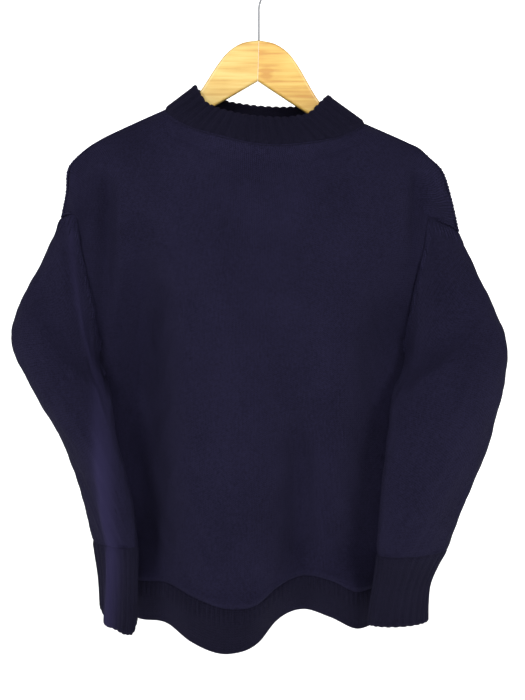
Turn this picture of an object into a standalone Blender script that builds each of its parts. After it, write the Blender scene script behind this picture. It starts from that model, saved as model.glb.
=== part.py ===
"""A guernsey fisherman sweater hanging on a flat wooden hanger.

Frame: origin at the inner top of the hook, where a rail carries it.  +X is to the
right as seen from the front, -Y is the front, +Z is up.  Units are metres.

Every knitted piece is a closed wall.  Its outside is a grid of points that runs
between named edges, and its inside is the same grid set back by the fabric's
thickness.  Neighbouring pieces share their seam points and stand SEAM_GAP apart.
"""
import math

import bmesh
import bpy
import numpy as np
from mathutils import Matrix

# ---------------------------------------------------------------- driving sizes
FABRIC = 0.0028            # thickness of the plain knitting
SEAM_GAP = 0.0003          # space between two pieces at a seam
MITER_LIMIT = 0.7          # least lean that a seam's mitred corner is lengthened for

# Points along the panels.  Each pair of numbers is where a stretch ends and how
# many steps it has, so that every seam has the same points on both its sides.
U_SHOULDER_END = 1.0       # across a panel: -1 at the left edge, +1 at the right
U_ARM_END = 0.80           # above the end of the hanger's arm
U_NECK = 0.46              # where the neckline meets the shoulder line
V_UNDERARM = 0.55          # up a panel: 0 at the welt seam, 1 at the top edge
STEPS_DROP = 3             # from the arm's end down to the sleeve seam
STEPS_SHOULDER = 5         # along one shoulder
STEPS_NECK = 14            # along the front or the back of the neck
STEPS_SIDE = 9             # from the welt seam to the underarm
STEPS_ARMHOLE = 10         # from the underarm to the shoulder's end
CLOSER_AT_TOP = 1.35       # above 1 crowds the armhole's steps towards the shoulder
STEPS_SLEEVE = 14          # down a sleeve
STEPS_TO_ELBOW = 7         # the rows of these that belong to the sleeve's upper length
STEPS_CUFF = 4
STEPS_WELT = 3
STEPS_BAND = 4

# ------------------------------------------------------------------ the outline
# Shoulder line, from the neck's corner out over the hanger's end to the sleeve
# seam.  u is the place across the panel.
SHOULDER = {
    "u":       (0.46, 0.58, 0.70, 0.76, 0.80, 0.86, 0.92, 1.00),
    "x_left":  (-0.117, -0.158, -0.198, -0.214, -0.226, -0.237, -0.239, -0.246),
    "z_left":  (-0.178, -0.196, -0.215, -0.225, -0.235, -0.250, -0.275, -0.309),
    "x_right": (0.132, 0.160, 0.187, 0.201, 0.212, 0.228, 0.238, 0.249),
    "z_right": (-0.195, -0.207, -0.219, -0.226, -0.236, -0.252, -0.281, -0.326),
}
SHOULDER_Y = -0.003        # the shoulder line lies just in front of the arm's middle

# Armhole seam, from the shoulder's end across the front (or back) and down the
# crease between body and sleeve to the underarm.
ARMHOLE = {
    "step":    (0, 1, 2, 3, 4, 5, 6),
    "x_left":  (-0.246, -0.234, -0.223, -0.219, -0.210, -0.205, -0.204),
    "z_left":  (-0.309, -0.306, -0.314, -0.345, -0.395, -0.440, -0.470),
    "x_right": (0.249, 0.229, 0.208, 0.203, 0.194, 0.188, 0.187),
    "z_right": (-0.326, -0.317, -0.312, -0.345, -0.395, -0.440, -0.470),
    "y_front": (-0.003, -0.022, -0.030, -0.026, -0.016, -0.002, 0.012),
    "y_back":  (-0.003, 0.018, 0.034, 0.034, 0.030, 0.024, 0.012),
}

# Side line, from the underarm down to the welt seam, behind the sleeve.
SIDE = {
    "z":       (-0.470, -0.510, -0.570, -0.650, -0.768),
    "x_left":  (-0.204, -0.208, -0.208, -0.203, -0.190),
    "x_right": (0.187, 0.190, 0.192, 0.192, 0.190),
    "y":       (0.012, 0.015, 0.018, 0.021, 0.022),
}

# Neckline and neckband: the seam and the free top edge, each an oval in plan that
# peaks over the hanger's arms and dips at the front and the back.
NECK_SEAM = {"left": (-0.117, -0.178), "right": (0.132, -0.195),
             "front": 0.056, "front_dip": 0.0375, "back": 0.050, "back_dip": 0.019, "fall": "seam"}
NECK_EDGE = {"left": (-0.079, -0.150), "right": (0.086, -0.1625),
             "front": 0.040, "front_dip": 0.0350, "back": 0.036, "back_dip": 0.0155, "fall": "edge"}
# How much of its dip each has reached, by its share of the way across the front.
NECK_FALL = {
    "share": (0.00, 0.03, 0.07, 0.12, 0.25, 0.50, 0.75, 0.87, 0.94, 1.00),
    "seam":  (0.00, 0.20, 0.38, 0.54, 0.76, 1.00, 0.77, 0.54, 0.30, 0.00),
    "edge":  (0.00, 0.25, 0.55, 0.70, 0.88, 1.00, 0.88, 0.66, 0.30, 0.00),
}

# How far the body stands out, by height: at its middle, and 0.7 of the way to
# each side.  v is the place up the panel, and turn says how tightly it rounds
# into the side.
SIDE_COLUMN = 0.70
FRONT_DEPTH = {
    "v":      (0.00, 0.20, 0.45, 0.70, 0.86, 1.00),
    "middle": (-0.050, -0.056, -0.062, -0.064, -0.062, -0.058),
    "left":   (-0.030, -0.034, -0.038, -0.040, -0.036, -0.034),
    "right":  (-0.034, -0.040, -0.044, -0.046, -0.040, -0.036),
    "turn":   (1.7, 1.7, 1.8, 2.2, 2.8, 3.0),
}
BACK_DEPTH = {
    "v":      (0.00, 0.20, 0.45, 0.70, 0.86, 1.00),
    "middle": (0.058, 0.062, 0.064, 0.060, 0.056, 0.052),
    "left":   (0.052, 0.056, 0.056, 0.050, 0.042, 0.036),
    "right":  (0.054, 0.056, 0.056, 0.050, 0.042, 0.036),
    "turn":   (3.0, 3.0, 3.0, 3.0, 3.0, 3.0),
}
SHOULDER_START = 0.74      # above this part of its height the body closes over the arms
SHOULDER_ROUND = 0.80      # 0 closes to a straight fold, 1 to a half round
LAST_ROUND = 0.97          # above this part of its height the drop rounds into its seam

# Flutes of the hem: the welt's seam and its free edge, read across the garment.
# Each row is a crest or a hollow, or the slope between them.
FRONT_FLUTES = {
    "x":      (-0.190, -0.157, -0.117, -0.085, -0.035, 0.000, 0.022, 0.055, 0.090, 0.125, 0.160, 0.190),
    "y_seam": (0.022, -0.020, -0.032, -0.055, -0.078, -0.064, -0.036, -0.012, -0.028, -0.040, -0.012, 0.022),
    "z_seam": (-0.768, -0.770, -0.771, -0.781, -0.790, -0.788, -0.777, -0.768, -0.769, -0.780, -0.776, -0.768),
    "y_edge": (0.024, -0.020, -0.036, -0.070, -0.092, -0.070, -0.034, -0.008, -0.030, -0.042, -0.012, 0.024),
    "z_edge": (-0.816, -0.820, -0.822, -0.834, -0.8415, -0.835, -0.820, -0.813, -0.816, -0.827, -0.823, -0.816),
}
BACK_FLUTES = {
    "x":      (-0.190, -0.160, -0.115, -0.065, -0.015, 0.040, 0.085, 0.130, 0.162, 0.190),
    "y_seam": (0.022, 0.050, 0.070, 0.052, 0.040, 0.058, 0.078, 0.060, 0.050, 0.022),
    "z_seam": (-0.768, -0.770, -0.774, -0.770, -0.768, -0.772, -0.776, -0.772, -0.769, -0.768),
    "y_edge": (0.024, 0.052, 0.078, 0.054, 0.038, 0.060, 0.086, 0.062, 0.052, 0.024),
    "z_edge": (-0.816, -0.819, -0.824, -0.819, -0.815, -0.821, -0.827, -0.821, -0.818, -0.816),
}
FLUTE_FADE = 3.0           # how quickly the flutes die out up the body
EDGE_FADE = 3.0            # how quickly the knitting straightens away from its edges

# Soft troughs of the front: from (x0, z0) to (x1, z1), how deep and how wide.
FRONT_TROUGHS = {
    "x0":    (0.207, -0.222, 0.170, -0.180),
    "z0":    (-0.250, -0.250, -0.240, -0.225),
    "x1":    (0.206, -0.226, 0.190, -0.205),
    "z1":    (-0.310, -0.300, -0.330, -0.290),
    "depth": (0.012, 0.008, 0.006, 0.006),
    "width": (0.010, 0.010, 0.022, 0.020),
}

# Sleeves: a ring for each row, from its outer to its inner point, and half its
# thickness from front to back.  The first ring is the armhole itself.
SLEEVE_RIGHT = {
    "x_out": (0.269, 0.2935, 0.3065, 0.306, 0.2945, 0.278, 0.2535, 0.234),
    "y_out": (-0.010, -0.018, -0.024, -0.028, -0.032, -0.038, -0.046, -0.054),
    "z_out": (-0.372, -0.424, -0.462, -0.505, -0.555, -0.610, -0.665, -0.718),
    "x_in":  (0.184, 0.166, 0.160, 0.156, 0.152, 0.149, 0.146, 0.146),
    "y_in":  (-0.014, -0.050, -0.066, -0.074, -0.078, -0.082, -0.084, -0.084),
    "z_in":  (-0.490, -0.530, -0.565, -0.600, -0.630, -0.660, -0.692, -0.720),
    "half":  (0.034, 0.038, 0.039, 0.039, 0.037, 0.034, 0.030, 0.025),
}
SLEEVE_LEFT = {
    "x_out": (-0.268, -0.295, -0.308, -0.291, -0.256, -0.231, -0.216, -0.204),
    "y_out": (-0.008, -0.010, -0.010, -0.010, -0.010, -0.012, -0.018, -0.026),
    "z_out": (-0.358, -0.412, -0.455, -0.500, -0.555, -0.610, -0.662, -0.712),
    "x_in":  (-0.202, -0.186, -0.180, -0.174, -0.168, -0.162, -0.157, -0.154),
    "y_in":  (-0.014, -0.050, -0.066, -0.074, -0.078, -0.080, -0.080, -0.078),
    "z_in":  (-0.490, -0.530, -0.560, -0.594, -0.624, -0.654, -0.686, -0.712),
    "half":  (0.034, 0.038, 0.038, 0.036, 0.032, 0.028, 0.025, 0.022),
}
CUFF_RIGHT = {
    "x_out": (0.233, 0.221, 0.212, 0.210, 0.210),
    "y_out": (-0.054, -0.056, -0.058, -0.058, -0.058),
    "z_out": (-0.720, -0.741, -0.763, -0.786, -0.809),
    "x_in":  (0.146, 0.144, 0.141, 0.138, 0.135),
    "y_in":  (-0.084, -0.084, -0.082, -0.080, -0.080),
    "z_in":  (-0.720, -0.741, -0.763, -0.786, -0.808),
    "half":  (0.024, 0.022, 0.021, 0.020, 0.020),
}
CUFF_LEFT = {
    "x_out": (-0.205, -0.202, -0.199, -0.197, -0.196),
    "y_out": (-0.026, -0.024, -0.022, -0.022, -0.022),
    "z_out": (-0.713, -0.736, -0.758, -0.780, -0.800),
    "x_in":  (-0.154, -0.154, -0.155, -0.156, -0.157),
    "y_in":  (-0.078, -0.080, -0.080, -0.080, -0.080),
    "z_in":  (-0.713, -0.740, -0.766, -0.791, -0.815),
    "half":  (0.021, 0.019, 0.018, 0.018, 0.018),
}

# Hanger: half of its outline before it tips about the hook's foot.
HANGER_THICK = 0.012
HANGER_TIP = math.radians(1.6)
HANGER_EDGE = 0.003
HANGER_FINE = 3            # points along the outline for each row of the table
HANGER_HALF = {
    "x": (0.000, 0.020, 0.037, 0.050, 0.060, 0.070, 0.080, 0.092, 0.120, 0.155, 0.185, 0.198,
          0.205, 0.204, 0.195, 0.150, 0.100, 0.058, 0.000),
    "z": (-0.0935, -0.0972, -0.108, -0.1242, -0.140, -0.156, -0.169, -0.178, -0.193, -0.2095, -0.2235, -0.2305,
          -0.238, -0.247, -0.250, -0.229, -0.202, -0.178, -0.143),
}

# Hook: a straight stem, a bend to the right, then a round hook over to the left.
WIRE = 0.0024
HOOK_RADIUS = 0.019        # to the middle of the wire
HOOK_BEND = 0.030
HOOK_END = math.radians(200)
HOOK_FOOT = HANGER_HALF["z"][0] + SEAM_GAP

NAVY = (0.014, 0.013, 0.034, 1.0)
NAVY_RIB = (0.012, 0.011, 0.029, 1.0)
WOOD = (0.64, 0.40, 0.19, 1.0)
STEEL = (0.42, 0.43, 0.45, 1.0)


# ---------------------------------------------------------------- small helpers
def smooth(keys, values, at):
    """Read a smooth curve through a table's points."""
    keys = np.asarray(keys, float)
    values = np.asarray(values, float)
    order = np.argsort(keys)
    keys, values = keys[order], values[order]
    slopes = np.gradient(values, keys)
    at = np.clip(at, keys[0], keys[-1])
    k = np.clip(np.searchsorted(keys, at) - 1, 0, len(keys) - 2)
    span = keys[k + 1] - keys[k]
    t = (at - keys[k]) / span
    rise = t * t * (3 - 2 * t)
    start = t * (1 - t) ** 2 * span
    end = -t * t * (1 - t) * span
    return values[k] * (1 - rise) + values[k + 1] * rise + slopes[k] * start + slopes[k + 1] * end


def ease(low, high, at):
    t = np.clip((at - low) / (high - low), 0.0, 1.0)
    return t * t * (3 - 2 * t)


def steps(*stretches):
    """Stations along an edge: even steps inside each (start, end, count) stretch."""
    stations = [stretches[0][0]]
    for start, end, count in stretches:
        stations.extend(np.linspace(start, end, count + 1)[1:])
    return np.array(stations)


def unit(vectors):
    return vectors / np.maximum(np.linalg.norm(vectors, axis=-1, keepdims=True), 1e-12)


def grid_normals(grid, closed):
    """Outward normals of a grid whose rows run across and whose columns run up."""
    if closed:
        across = np.roll(grid, -1, axis=1) - np.roll(grid, 1, axis=1)
    else:
        across = np.gradient(grid, axis=1)
    up = np.gradient(grid, axis=0)
    return unit(np.cross(across, up))


def halves(square):
    """Cut a square in two triangles along its shorter diagonal."""
    a, b, c, d = square
    if (a.co - c.co).length > (b.co - d.co).length:
        a, b, c, d = b, c, d, a
    return (a, b, c), (a, c, d)


def wall_object(name, outside, inside, closed, colour):
    """Join an outside and an inside grid into one closed wall.

    Both skins of a square are cut along the same diagonal, so that they stay parallel.
    """
    rows, columns = outside.shape[:2]
    mesh = bpy.data.meshes.new(name)
    shell = bmesh.new()
    outer, inner = ([[shell.verts.new(point) for point in row] for row in grid] for grid in (outside, inside))
    spans = columns if closed else columns - 1
    for row in range(rows - 1):
        for column in range(spans):
            after = (column + 1) % columns
            places = [(row, column), (row, after), (row + 1, after), (row + 1, column)]
            corners = [outside[place] for place in places]
            if np.linalg.norm(corners[0] - corners[2]) > np.linalg.norm(corners[1] - corners[3]):
                places = places[1:] + places[:1]
            for half in ((0, 1, 2), (0, 2, 3)):
                shell.faces.new([outer[places[k][0]][places[k][1]] for k in half])
                shell.faces.new([inner[places[k][0]][places[k][1]] for k in reversed(half)])
    rims = []
    for column in range(spans):
        after = (column + 1) % columns
        rims.append([outer[0][after], outer[0][column], inner[0][column], inner[0][after]])
        rims.append([outer[-1][column], outer[-1][after], inner[-1][after], inner[-1][column]])
    if not closed:
        for row in range(rows - 1):
            rims.append([outer[row][0], outer[row + 1][0], inner[row + 1][0], inner[row][0]])
            rims.append([outer[row + 1][-1], outer[row][-1], inner[row][-1], inner[row + 1][-1]])
    for rim in rims:
        for half in halves(rim):
            shell.faces.new(half)
    shell.to_mesh(mesh)
    shell.free()
    return finish(name, mesh, colour, roughness=0.95, sharp=70)


def finish(name, mesh, colour, roughness, sharp, metallic=0.0):
    """Put a mesh in the scene, shaded smooth, with its own material."""
    part = bpy.data.objects.new(name, mesh)
    bpy.context.scene.collection.objects.link(part)
    material = bpy.data.materials.new(name + "_finish")
    material.use_nodes = True
    shader = material.node_tree.nodes["Principled BSDF"]
    shader.inputs["Base Color"].default_value = colour
    shader.inputs["Roughness"].default_value = roughness
    shader.inputs["Metallic"].default_value = metallic
    mesh.materials.append(material)
    if isinstance(mesh, bpy.types.Mesh):
        mesh.shade_smooth()
        mesh.set_sharp_from_angle(angle=math.radians(sharp))
    return part


# ------------------------------------------------------------- edges of the body
U_STATIONS = steps((-U_SHOULDER_END, -U_ARM_END, STEPS_DROP), (-U_ARM_END, -U_NECK, STEPS_SHOULDER),
                   (-U_NECK, U_NECK, STEPS_NECK), (U_NECK, U_ARM_END, STEPS_SHOULDER),
                   (U_ARM_END, U_SHOULDER_END, STEPS_DROP))
DOWN_ARMHOLE = np.linspace(1.0, 0.0, STEPS_ARMHOLE + 1)[1:] ** CLOSER_AT_TOP
V_STATIONS = np.concatenate([np.linspace(0.0, V_UNDERARM, STEPS_SIDE + 1), 1 - (1 - V_UNDERARM) * DOWN_ARMHOLE])
ON_SHOULDER = np.abs(U_STATIONS) >= U_NECK - 1e-9
SIDES = (0, -1)


def neck_point(oval, place, face):
    """A point of the neckline: place runs from 0 at the left to 1 at the right."""
    share = (place + 0.5 - 0.5 * math.cos(math.pi * place)) / 2
    x = oval["left"][0] + share * (oval["right"][0] - oval["left"][0])
    z = oval["left"][1] + share * (oval["right"][1] - oval["left"][1])
    out = 2 * math.sqrt(max(share * (1 - share), 0.0))
    if face == "front":
        fall = smooth(NECK_FALL["share"], NECK_FALL[oval["fall"]], share)
        return np.array([x, SHOULDER_Y - oval["front"] * out, z - oval["front_dip"] * fall])
    return np.array([x, SHOULDER_Y + oval["back"] * out, z - oval["back_dip"] * out])


def top_edge(u, face):
    """The panel's top edge: neckline in the middle, shoulder line at each side."""
    if abs(u) < U_NECK:
        return neck_point(NECK_SEAM, (u / U_NECK + 1) / 2, face)
    side = "left" if u < 0 else "right"
    x = smooth(SHOULDER["u"], SHOULDER["x_" + side], abs(u))
    z = smooth(SHOULDER["u"], SHOULDER["z_" + side], abs(u))
    return np.array([x, SHOULDER_Y, z])


def side_edge(v, side, face):
    """The panel's side: the side line up to the underarm, then the armhole."""
    if v >= V_UNDERARM:
        step = ARMHOLE["step"][-1] * (1 - v) / (1 - V_UNDERARM)
        columns = ("x_" + side, "y_" + face, "z_" + side)
        return np.array([smooth(ARMHOLE["step"], ARMHOLE[name], step) for name in columns])
    z = SIDE["z"][-1] + (SIDE["z"][0] - SIDE["z"][-1]) * v / V_UNDERARM
    return np.array([smooth(SIDE["z"], SIDE["x_" + side], z), smooth(SIDE["z"], SIDE["y"], z), z])


def hem_line(u, flutes, line):
    """A line of the welt: its seam with the body, or its free edge."""
    x_left, x_right = flutes["x"][0], flutes["x"][-1]
    x = x_left + (x_right - x_left) * (u + 1) / 2
    y = smooth(flutes["x"], flutes["y_" + line], x)
    z = smooth(flutes["x"], flutes["z_" + line], x)
    return np.array([x, y, z])


def body_depth(u, v, depth, edges):
    """How far the panel stands to the front or the back, before flutes and troughs."""
    left, right = edges
    side, edge = ("left", left[1]) if u < 0 else ("right", right[1])
    middle = smooth(depth["v"], depth["middle"], v)
    flank = smooth(depth["v"], depth[side], v)
    out = abs(u)
    if out <= SIDE_COLUMN:
        return middle + (flank - middle) * (out / SIDE_COLUMN) ** 2
    slope = 2 * (flank - middle) / SIDE_COLUMN
    beyond = (out - SIDE_COLUMN) / (1 - SIDE_COLUMN)
    turn = smooth(depth["v"], depth["turn"], v)
    return flank + slope * (out - SIDE_COLUMN) * (1 - beyond) + (edge - flank) * beyond ** turn


def trough_depth(x, z, troughs):
    """Depth of the soft troughs at a place of the front."""
    total = 0.0
    for x0, z0, x1, z1, deep, wide in zip(*(troughs[name] for name in ("x0", "z0", "x1", "z1", "depth", "width"))):
        along = np.array([x1 - x0, z1 - z0])
        place = np.array([x - x0, z - z0])
        share = np.clip(place @ along / (along @ along), 0.0, 1.0)
        away = np.linalg.norm(place - share * along)
        total += deep * math.exp(-((away / wide) ** 2))
    return total


def body_point(u, v, face):
    """A point on the outside of the front or the back panel."""
    flutes, depth = (FRONT_FLUTES, FRONT_DEPTH) if face == "front" else (BACK_FLUTES, BACK_DEPTH)
    share = (u + 1) / 2
    left, right = side_edge(v, "left", face), side_edge(v, "right", face)
    hem, top = hem_line(u, flutes, "seam"), top_edge(u, face)
    corners = [hem_line(-1, flutes, "seam"), hem_line(1, flutes, "seam"), top_edge(-1, face), top_edge(1, face)]
    low = (1 - share) * corners[0] + share * corners[1]
    high = (1 - share) * corners[2] + share * corners[3]
    near_top = np.array([v ** EDGE_FADE, v, v])
    point = (1 - v) * low + v * high + (1 - v) * (hem - low) + near_top * (top - high)
    point += (1 - share) ** EDGE_FADE * (left - (1 - v) * corners[0] - v * corners[2])
    point += share ** EDGE_FADE * (right - (1 - v) * corners[1] - v * corners[3])
    if v <= 0 or v >= 1 or abs(u) >= 1:
        return point
    y = body_depth(u, v, depth, (left, right))
    y += (hem[1] - body_depth(u, 0.0, depth, (corners[0], corners[1]))) * (1 - v) ** FLUTE_FADE
    if face == "front":
        y += trough_depth(point[0], point[2], FRONT_TROUGHS) * (1 - abs(u) ** 12)
    if v > SHOULDER_START:
        rise = (v - SHOULDER_START) / (1 - SHOULDER_START)
        rounded = SHOULDER_ROUND * ease(U_NECK - 0.32, U_NECK - 0.02, abs(u))
        keep = rounded * math.sqrt(1 - rise * rise) + (1 - rounded) * (1 - rise)
        keep += (1 - keep) * ease(0.9, 1.0, abs(u))
        keep *= math.sqrt(1 - max((v - LAST_ROUND) / (1 - LAST_ROUND), 0.0) ** 2)
        y = top[1] + (y - top[1]) * keep
    return np.array([point[0], y, point[2]])


def body_outside(face):
    grid = np.array([[body_point(u, v, face) for u in U_STATIONS] for v in V_STATIONS])
    shift = -SEAM_GAP / 2 if face == "front" else SEAM_GAP / 2
    grid[-1, ON_SHOULDER, 1] += shift
    grid[:STEPS_SIDE + 1, SIDES, 1] += shift
    return grid


def body_normals(face, grid):
    """Outward directions, kept in the seam's plane along the shoulders and sides."""
    normals = grid_normals(grid, closed=False)
    if face == "back":
        normals = -normals
    normals[-1, ON_SHOULDER, 1] = 0.0
    normals[:STEPS_SIDE + 1, SIDES, 1] = 0.0
    return unit(normals)


def welt_grids(face, outside, inside):
    """The welt hangs from the body's lowest row, a seam's gap below it."""
    flutes = FRONT_FLUTES if face == "front" else BACK_FLUTES
    edge = np.array([hem_line(u, flutes, "edge") for u in U_STATIONS])
    shares = np.linspace(0.0, 1.0, STEPS_WELT + 1)
    down = unit(edge - outside[0])
    grids = []
    for row in (outside[0], inside[0]):
        start = row + SEAM_GAP * down
        end = edge + (row - outside[0])
        grids.append(np.array([start + (end - start) * share for share in shares[::-1]]))
    return grids


# ------------------------------------------------------- rings cut from the body
def armhole_ring(front, back, side, inset=0):
    """The body's points along an armhole: over the front, then back up behind."""
    column = inset if side == "left" else -1 - inset
    ahead = front[STEPS_SIDE:, column][::-1]
    behind = back[STEPS_SIDE:, column]
    return joined_ring(ahead, behind)


def neck_ring(front, back, inset=0):
    """The body's points round the neck: over the front from left to right, then back."""
    first = STEPS_DROP + STEPS_SHOULDER
    last = first + STEPS_NECK + 1
    return joined_ring(front[-1 - inset, first:last], back[-1 - inset, first:last][::-1])


def seam_away(ring, directions, inner_ring):
    """The way across a seam, square to the ring and to its mitred corner."""
    along = np.roll(ring, -1, axis=0) - np.roll(ring, 1, axis=0)
    across = unit(np.cross(along, directions))
    return across * np.sign(np.sum(across * (ring - inner_ring)))


def joined_ring(ahead, behind):
    ring = np.concatenate([ahead, behind[1:-1]])
    ring[0] = (ahead[0] + behind[-1]) / 2
    ring[len(ahead) - 1] = (ahead[-1] + behind[0]) / 2
    return ring


def share_miter(front, back, shared, place):
    """Write a seam's shared directions back into the two panels' own.

    At its two ends, where front and back meet as well, they stay in that seam's plane.
    """
    for end in (0, len(shared) // 2):
        shared[end, 1] = 0.0
        shared[end] = unit(shared[end])
    if place == "neck":
        first = STEPS_DROP + STEPS_SHOULDER
        for step in range(STEPS_NECK + 1):
            front[-1, first + step] = shared[step]
            back[-1, first + step] = shared[-step]
        return
    column = 0 if place == "left" else -1
    for step in range(STEPS_ARMHOLE + 1):
        front[-1 - step, column] = shared[step]
        back[-1 - step, column] = shared[-step]


def miter(one, other):
    """The direction half way between two walls' own, longer where they turn sharply."""
    between = unit(one + other)
    lean = np.sum(between * one, axis=-1, keepdims=True)
    return between / np.maximum(lean, MITER_LIMIT)


# ---------------------------------------------------------------------- sleeves
def section_ring(out_point, in_point, half, count):
    """A flattened ring: outer point first, then over the front to the inner point."""
    middle = (out_point + in_point) / 2
    reach = out_point - middle
    front = np.array([reach[1], -reach[0], 0.0])
    if front[1] > 0:
        front = -front
    front = half * unit(front)
    turns = np.arange(count) * 2 * math.pi / count
    return np.array([middle + reach * math.cos(turn) + front * math.sin(turn) for turn in turns])


def rings_down(table, count_rows):
    """Rings read smoothly down a table of sections."""
    keys = np.arange(len(table["half"]))
    rings = []
    for row in np.linspace(0, keys[-1], count_rows):
        out_point = np.array([smooth(keys, column, row) for column in (table["x_out"], table["y_out"], table["z_out"])])
        in_point = np.array([smooth(keys, column, row) for column in (table["x_in"], table["y_in"], table["z_in"])])
        rings.append(section_ring(out_point, in_point, smooth(keys, table["half"], row), 2 * STEPS_ARMHOLE))
    return np.array(rings)


def sleeve_outside(front, back, side, sleeve):
    """A sleeve's rings, from the armhole's seam down to the cuff."""
    return np.concatenate([[armhole_ring(front, back, side)], rings_down(sleeve, STEPS_SLEEVE)])


def make_lengths(side, outside, inside):
    """A sleeve's upper and lower lengths, which meet at the elbow."""
    wall_object(f"sleeve_{side}_upper", outside[:STEPS_TO_ELBOW + 1], inside[:STEPS_TO_ELBOW + 1], True, NAVY)
    lower = [grid[STEPS_TO_ELBOW:].copy() for grid in (outside, inside)]
    for grid in lower:
        grid[0] += SEAM_GAP * unit(grid[1] - grid[0])
    wall_object(f"sleeve_{side}_lower", *lower, True, NAVY)


def make_cuff(side, cuff, sign, last_outside, last_inside):
    """A ribbed cuff, hung from the sleeve's last ring."""
    outside = rings_down(cuff, STEPS_CUFF + 1)
    outside[0] = last_outside
    inside = outside - FABRIC * sign * grid_normals(outside, closed=True)
    inside[0] = last_inside
    for grid in (outside, inside):
        grid[0, :, 2] -= SEAM_GAP
    flip = slice(None, None, sign)
    wall_object("cuff_" + side, outside[:, flip], inside[:, flip], True, NAVY_RIB)


# --------------------------------------------------------------------- neckband
def neckband_outside(front, back):
    """The neckband's rings, from the neckline's seam up to its free edge."""
    places = np.linspace(0, 1, STEPS_NECK + 1)
    ahead = np.array([neck_point(NECK_EDGE, place, "front") for place in places])
    behind = np.array([neck_point(NECK_EDGE, place, "back") for place in places[::-1]])
    edge = joined_ring(ahead, behind)
    seam = neck_ring(front, back)
    return np.array([seam + (edge - seam) * share for share in np.linspace(0.0, 1.0, STEPS_BAND + 1)])


# ---------------------------------------------------------------- whole garment
def make_garment():
    """Lay out every outside first, then set each inside back from it."""
    front, back = body_outside("front"), body_outside("back")
    band = neckband_outside(front, back)
    sleeves = {"left": sleeve_outside(front, back, "left", SLEEVE_LEFT),
               "right": sleeve_outside(front, back, "right", SLEEVE_RIGHT)}
    signs = {"left": -1, "right": 1}

    front_out, back_out = body_normals("front", front), body_normals("back", back)
    band_out = grid_normals(band, closed=True)
    band_out[0] = miter(neck_ring(front_out, back_out), band_out[0])
    share_miter(front_out, back_out, band_out[0], "neck")
    sleeve_out = {}
    for side, rings in sleeves.items():
        sleeve_out[side] = signs[side] * grid_normals(rings, closed=True)
        sleeve_out[side][0] = miter(armhole_ring(front_out, back_out, side), sleeve_out[side][0])
        share_miter(front_out, back_out, sleeve_out[side][0], side)

    for face, outside, normals in (("front", front, front_out), ("back", back, back_out)):
        inside = outside - FABRIC * normals
        flip = slice(None, None, 1 if face == "front" else -1)
        wall_object("body_" + face, outside[:, flip], inside[:, flip], False, NAVY)
        welt_outside, welt_inside = welt_grids(face, outside, inside)
        wall_object("welt_" + face, welt_outside[:, flip], welt_inside[:, flip], False, NAVY_RIB)
    inside = band - FABRIC * band_out
    away = SEAM_GAP * seam_away(band[0], band_out[0], neck_ring(front, back, inset=1))
    for grid in (band, inside):
        grid[0] += away
    wall_object("neckband", band, inside, True, NAVY_RIB)
    for side, cuff in (("left", CUFF_LEFT), ("right", CUFF_RIGHT)):
        outside = sleeves[side]
        inside = outside - FABRIC * sleeve_out[side]
        away = SEAM_GAP * seam_away(outside[0], sleeve_out[side][0], armhole_ring(front, back, side, inset=1))
        for grid in (outside, inside):
            grid[0] += away
        flip = slice(None, None, signs[side])
        make_lengths(side, outside[:, flip], inside[:, flip])
        make_cuff(side, cuff, signs[side], outside[-1], inside[-1])


# -------------------------------------------------------------- hanger and hook
def make_hanger():
    """Two flat wooden halves that meet under the hook, tipped a little together."""
    rows = len(HANGER_HALF["x"])
    places = np.linspace(0, rows - 1, (rows - 1) * HANGER_FINE + 1)
    line_x, line_z = (smooth(np.arange(rows), HANGER_HALF[name], places) for name in "xz")
    for side, sign in (("left", -1), ("right", 1)):
        outline = [(sign * max(x, SEAM_GAP / 2), z) for x, z in zip(line_x, line_z)]
        if sign < 0:
            outline = outline[::-1]
        slab = bmesh.new()
        face = slab.faces.new([slab.verts.new((x, -HANGER_THICK / 2, z)) for x, z in outline[::-1]])
        pushed = bmesh.ops.extrude_face_region(slab, geom=[face])
        moved = [item for item in pushed["geom"] if isinstance(item, bmesh.types.BMVert)]
        bmesh.ops.translate(slab, verts=moved, vec=(0.0, HANGER_THICK, 0.0))
        bmesh.ops.recalc_face_normals(slab, faces=slab.faces)
        rounded = [edge for edge in slab.edges if edge.calc_face_angle() > math.radians(50)
                   and max(abs(corner.co.x) for corner in edge.verts) > SEAM_GAP]
        bmesh.ops.bevel(slab, geom=rounded, offset=HANGER_EDGE, segments=3, profile=0.5, affect="EDGES")
        foot = Matrix.Translation((0.0, 0.0, HANGER_HALF["z"][0]))
        slab.transform(foot @ Matrix.Rotation(HANGER_TIP, 4, "Y") @ foot.inverted())
        name = "hanger_" + side + "_half"
        mesh = bpy.data.meshes.new(name)
        slab.to_mesh(mesh)
        slab.free()
        finish(name, mesh, WOOD, roughness=0.5, sharp=40)


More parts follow.
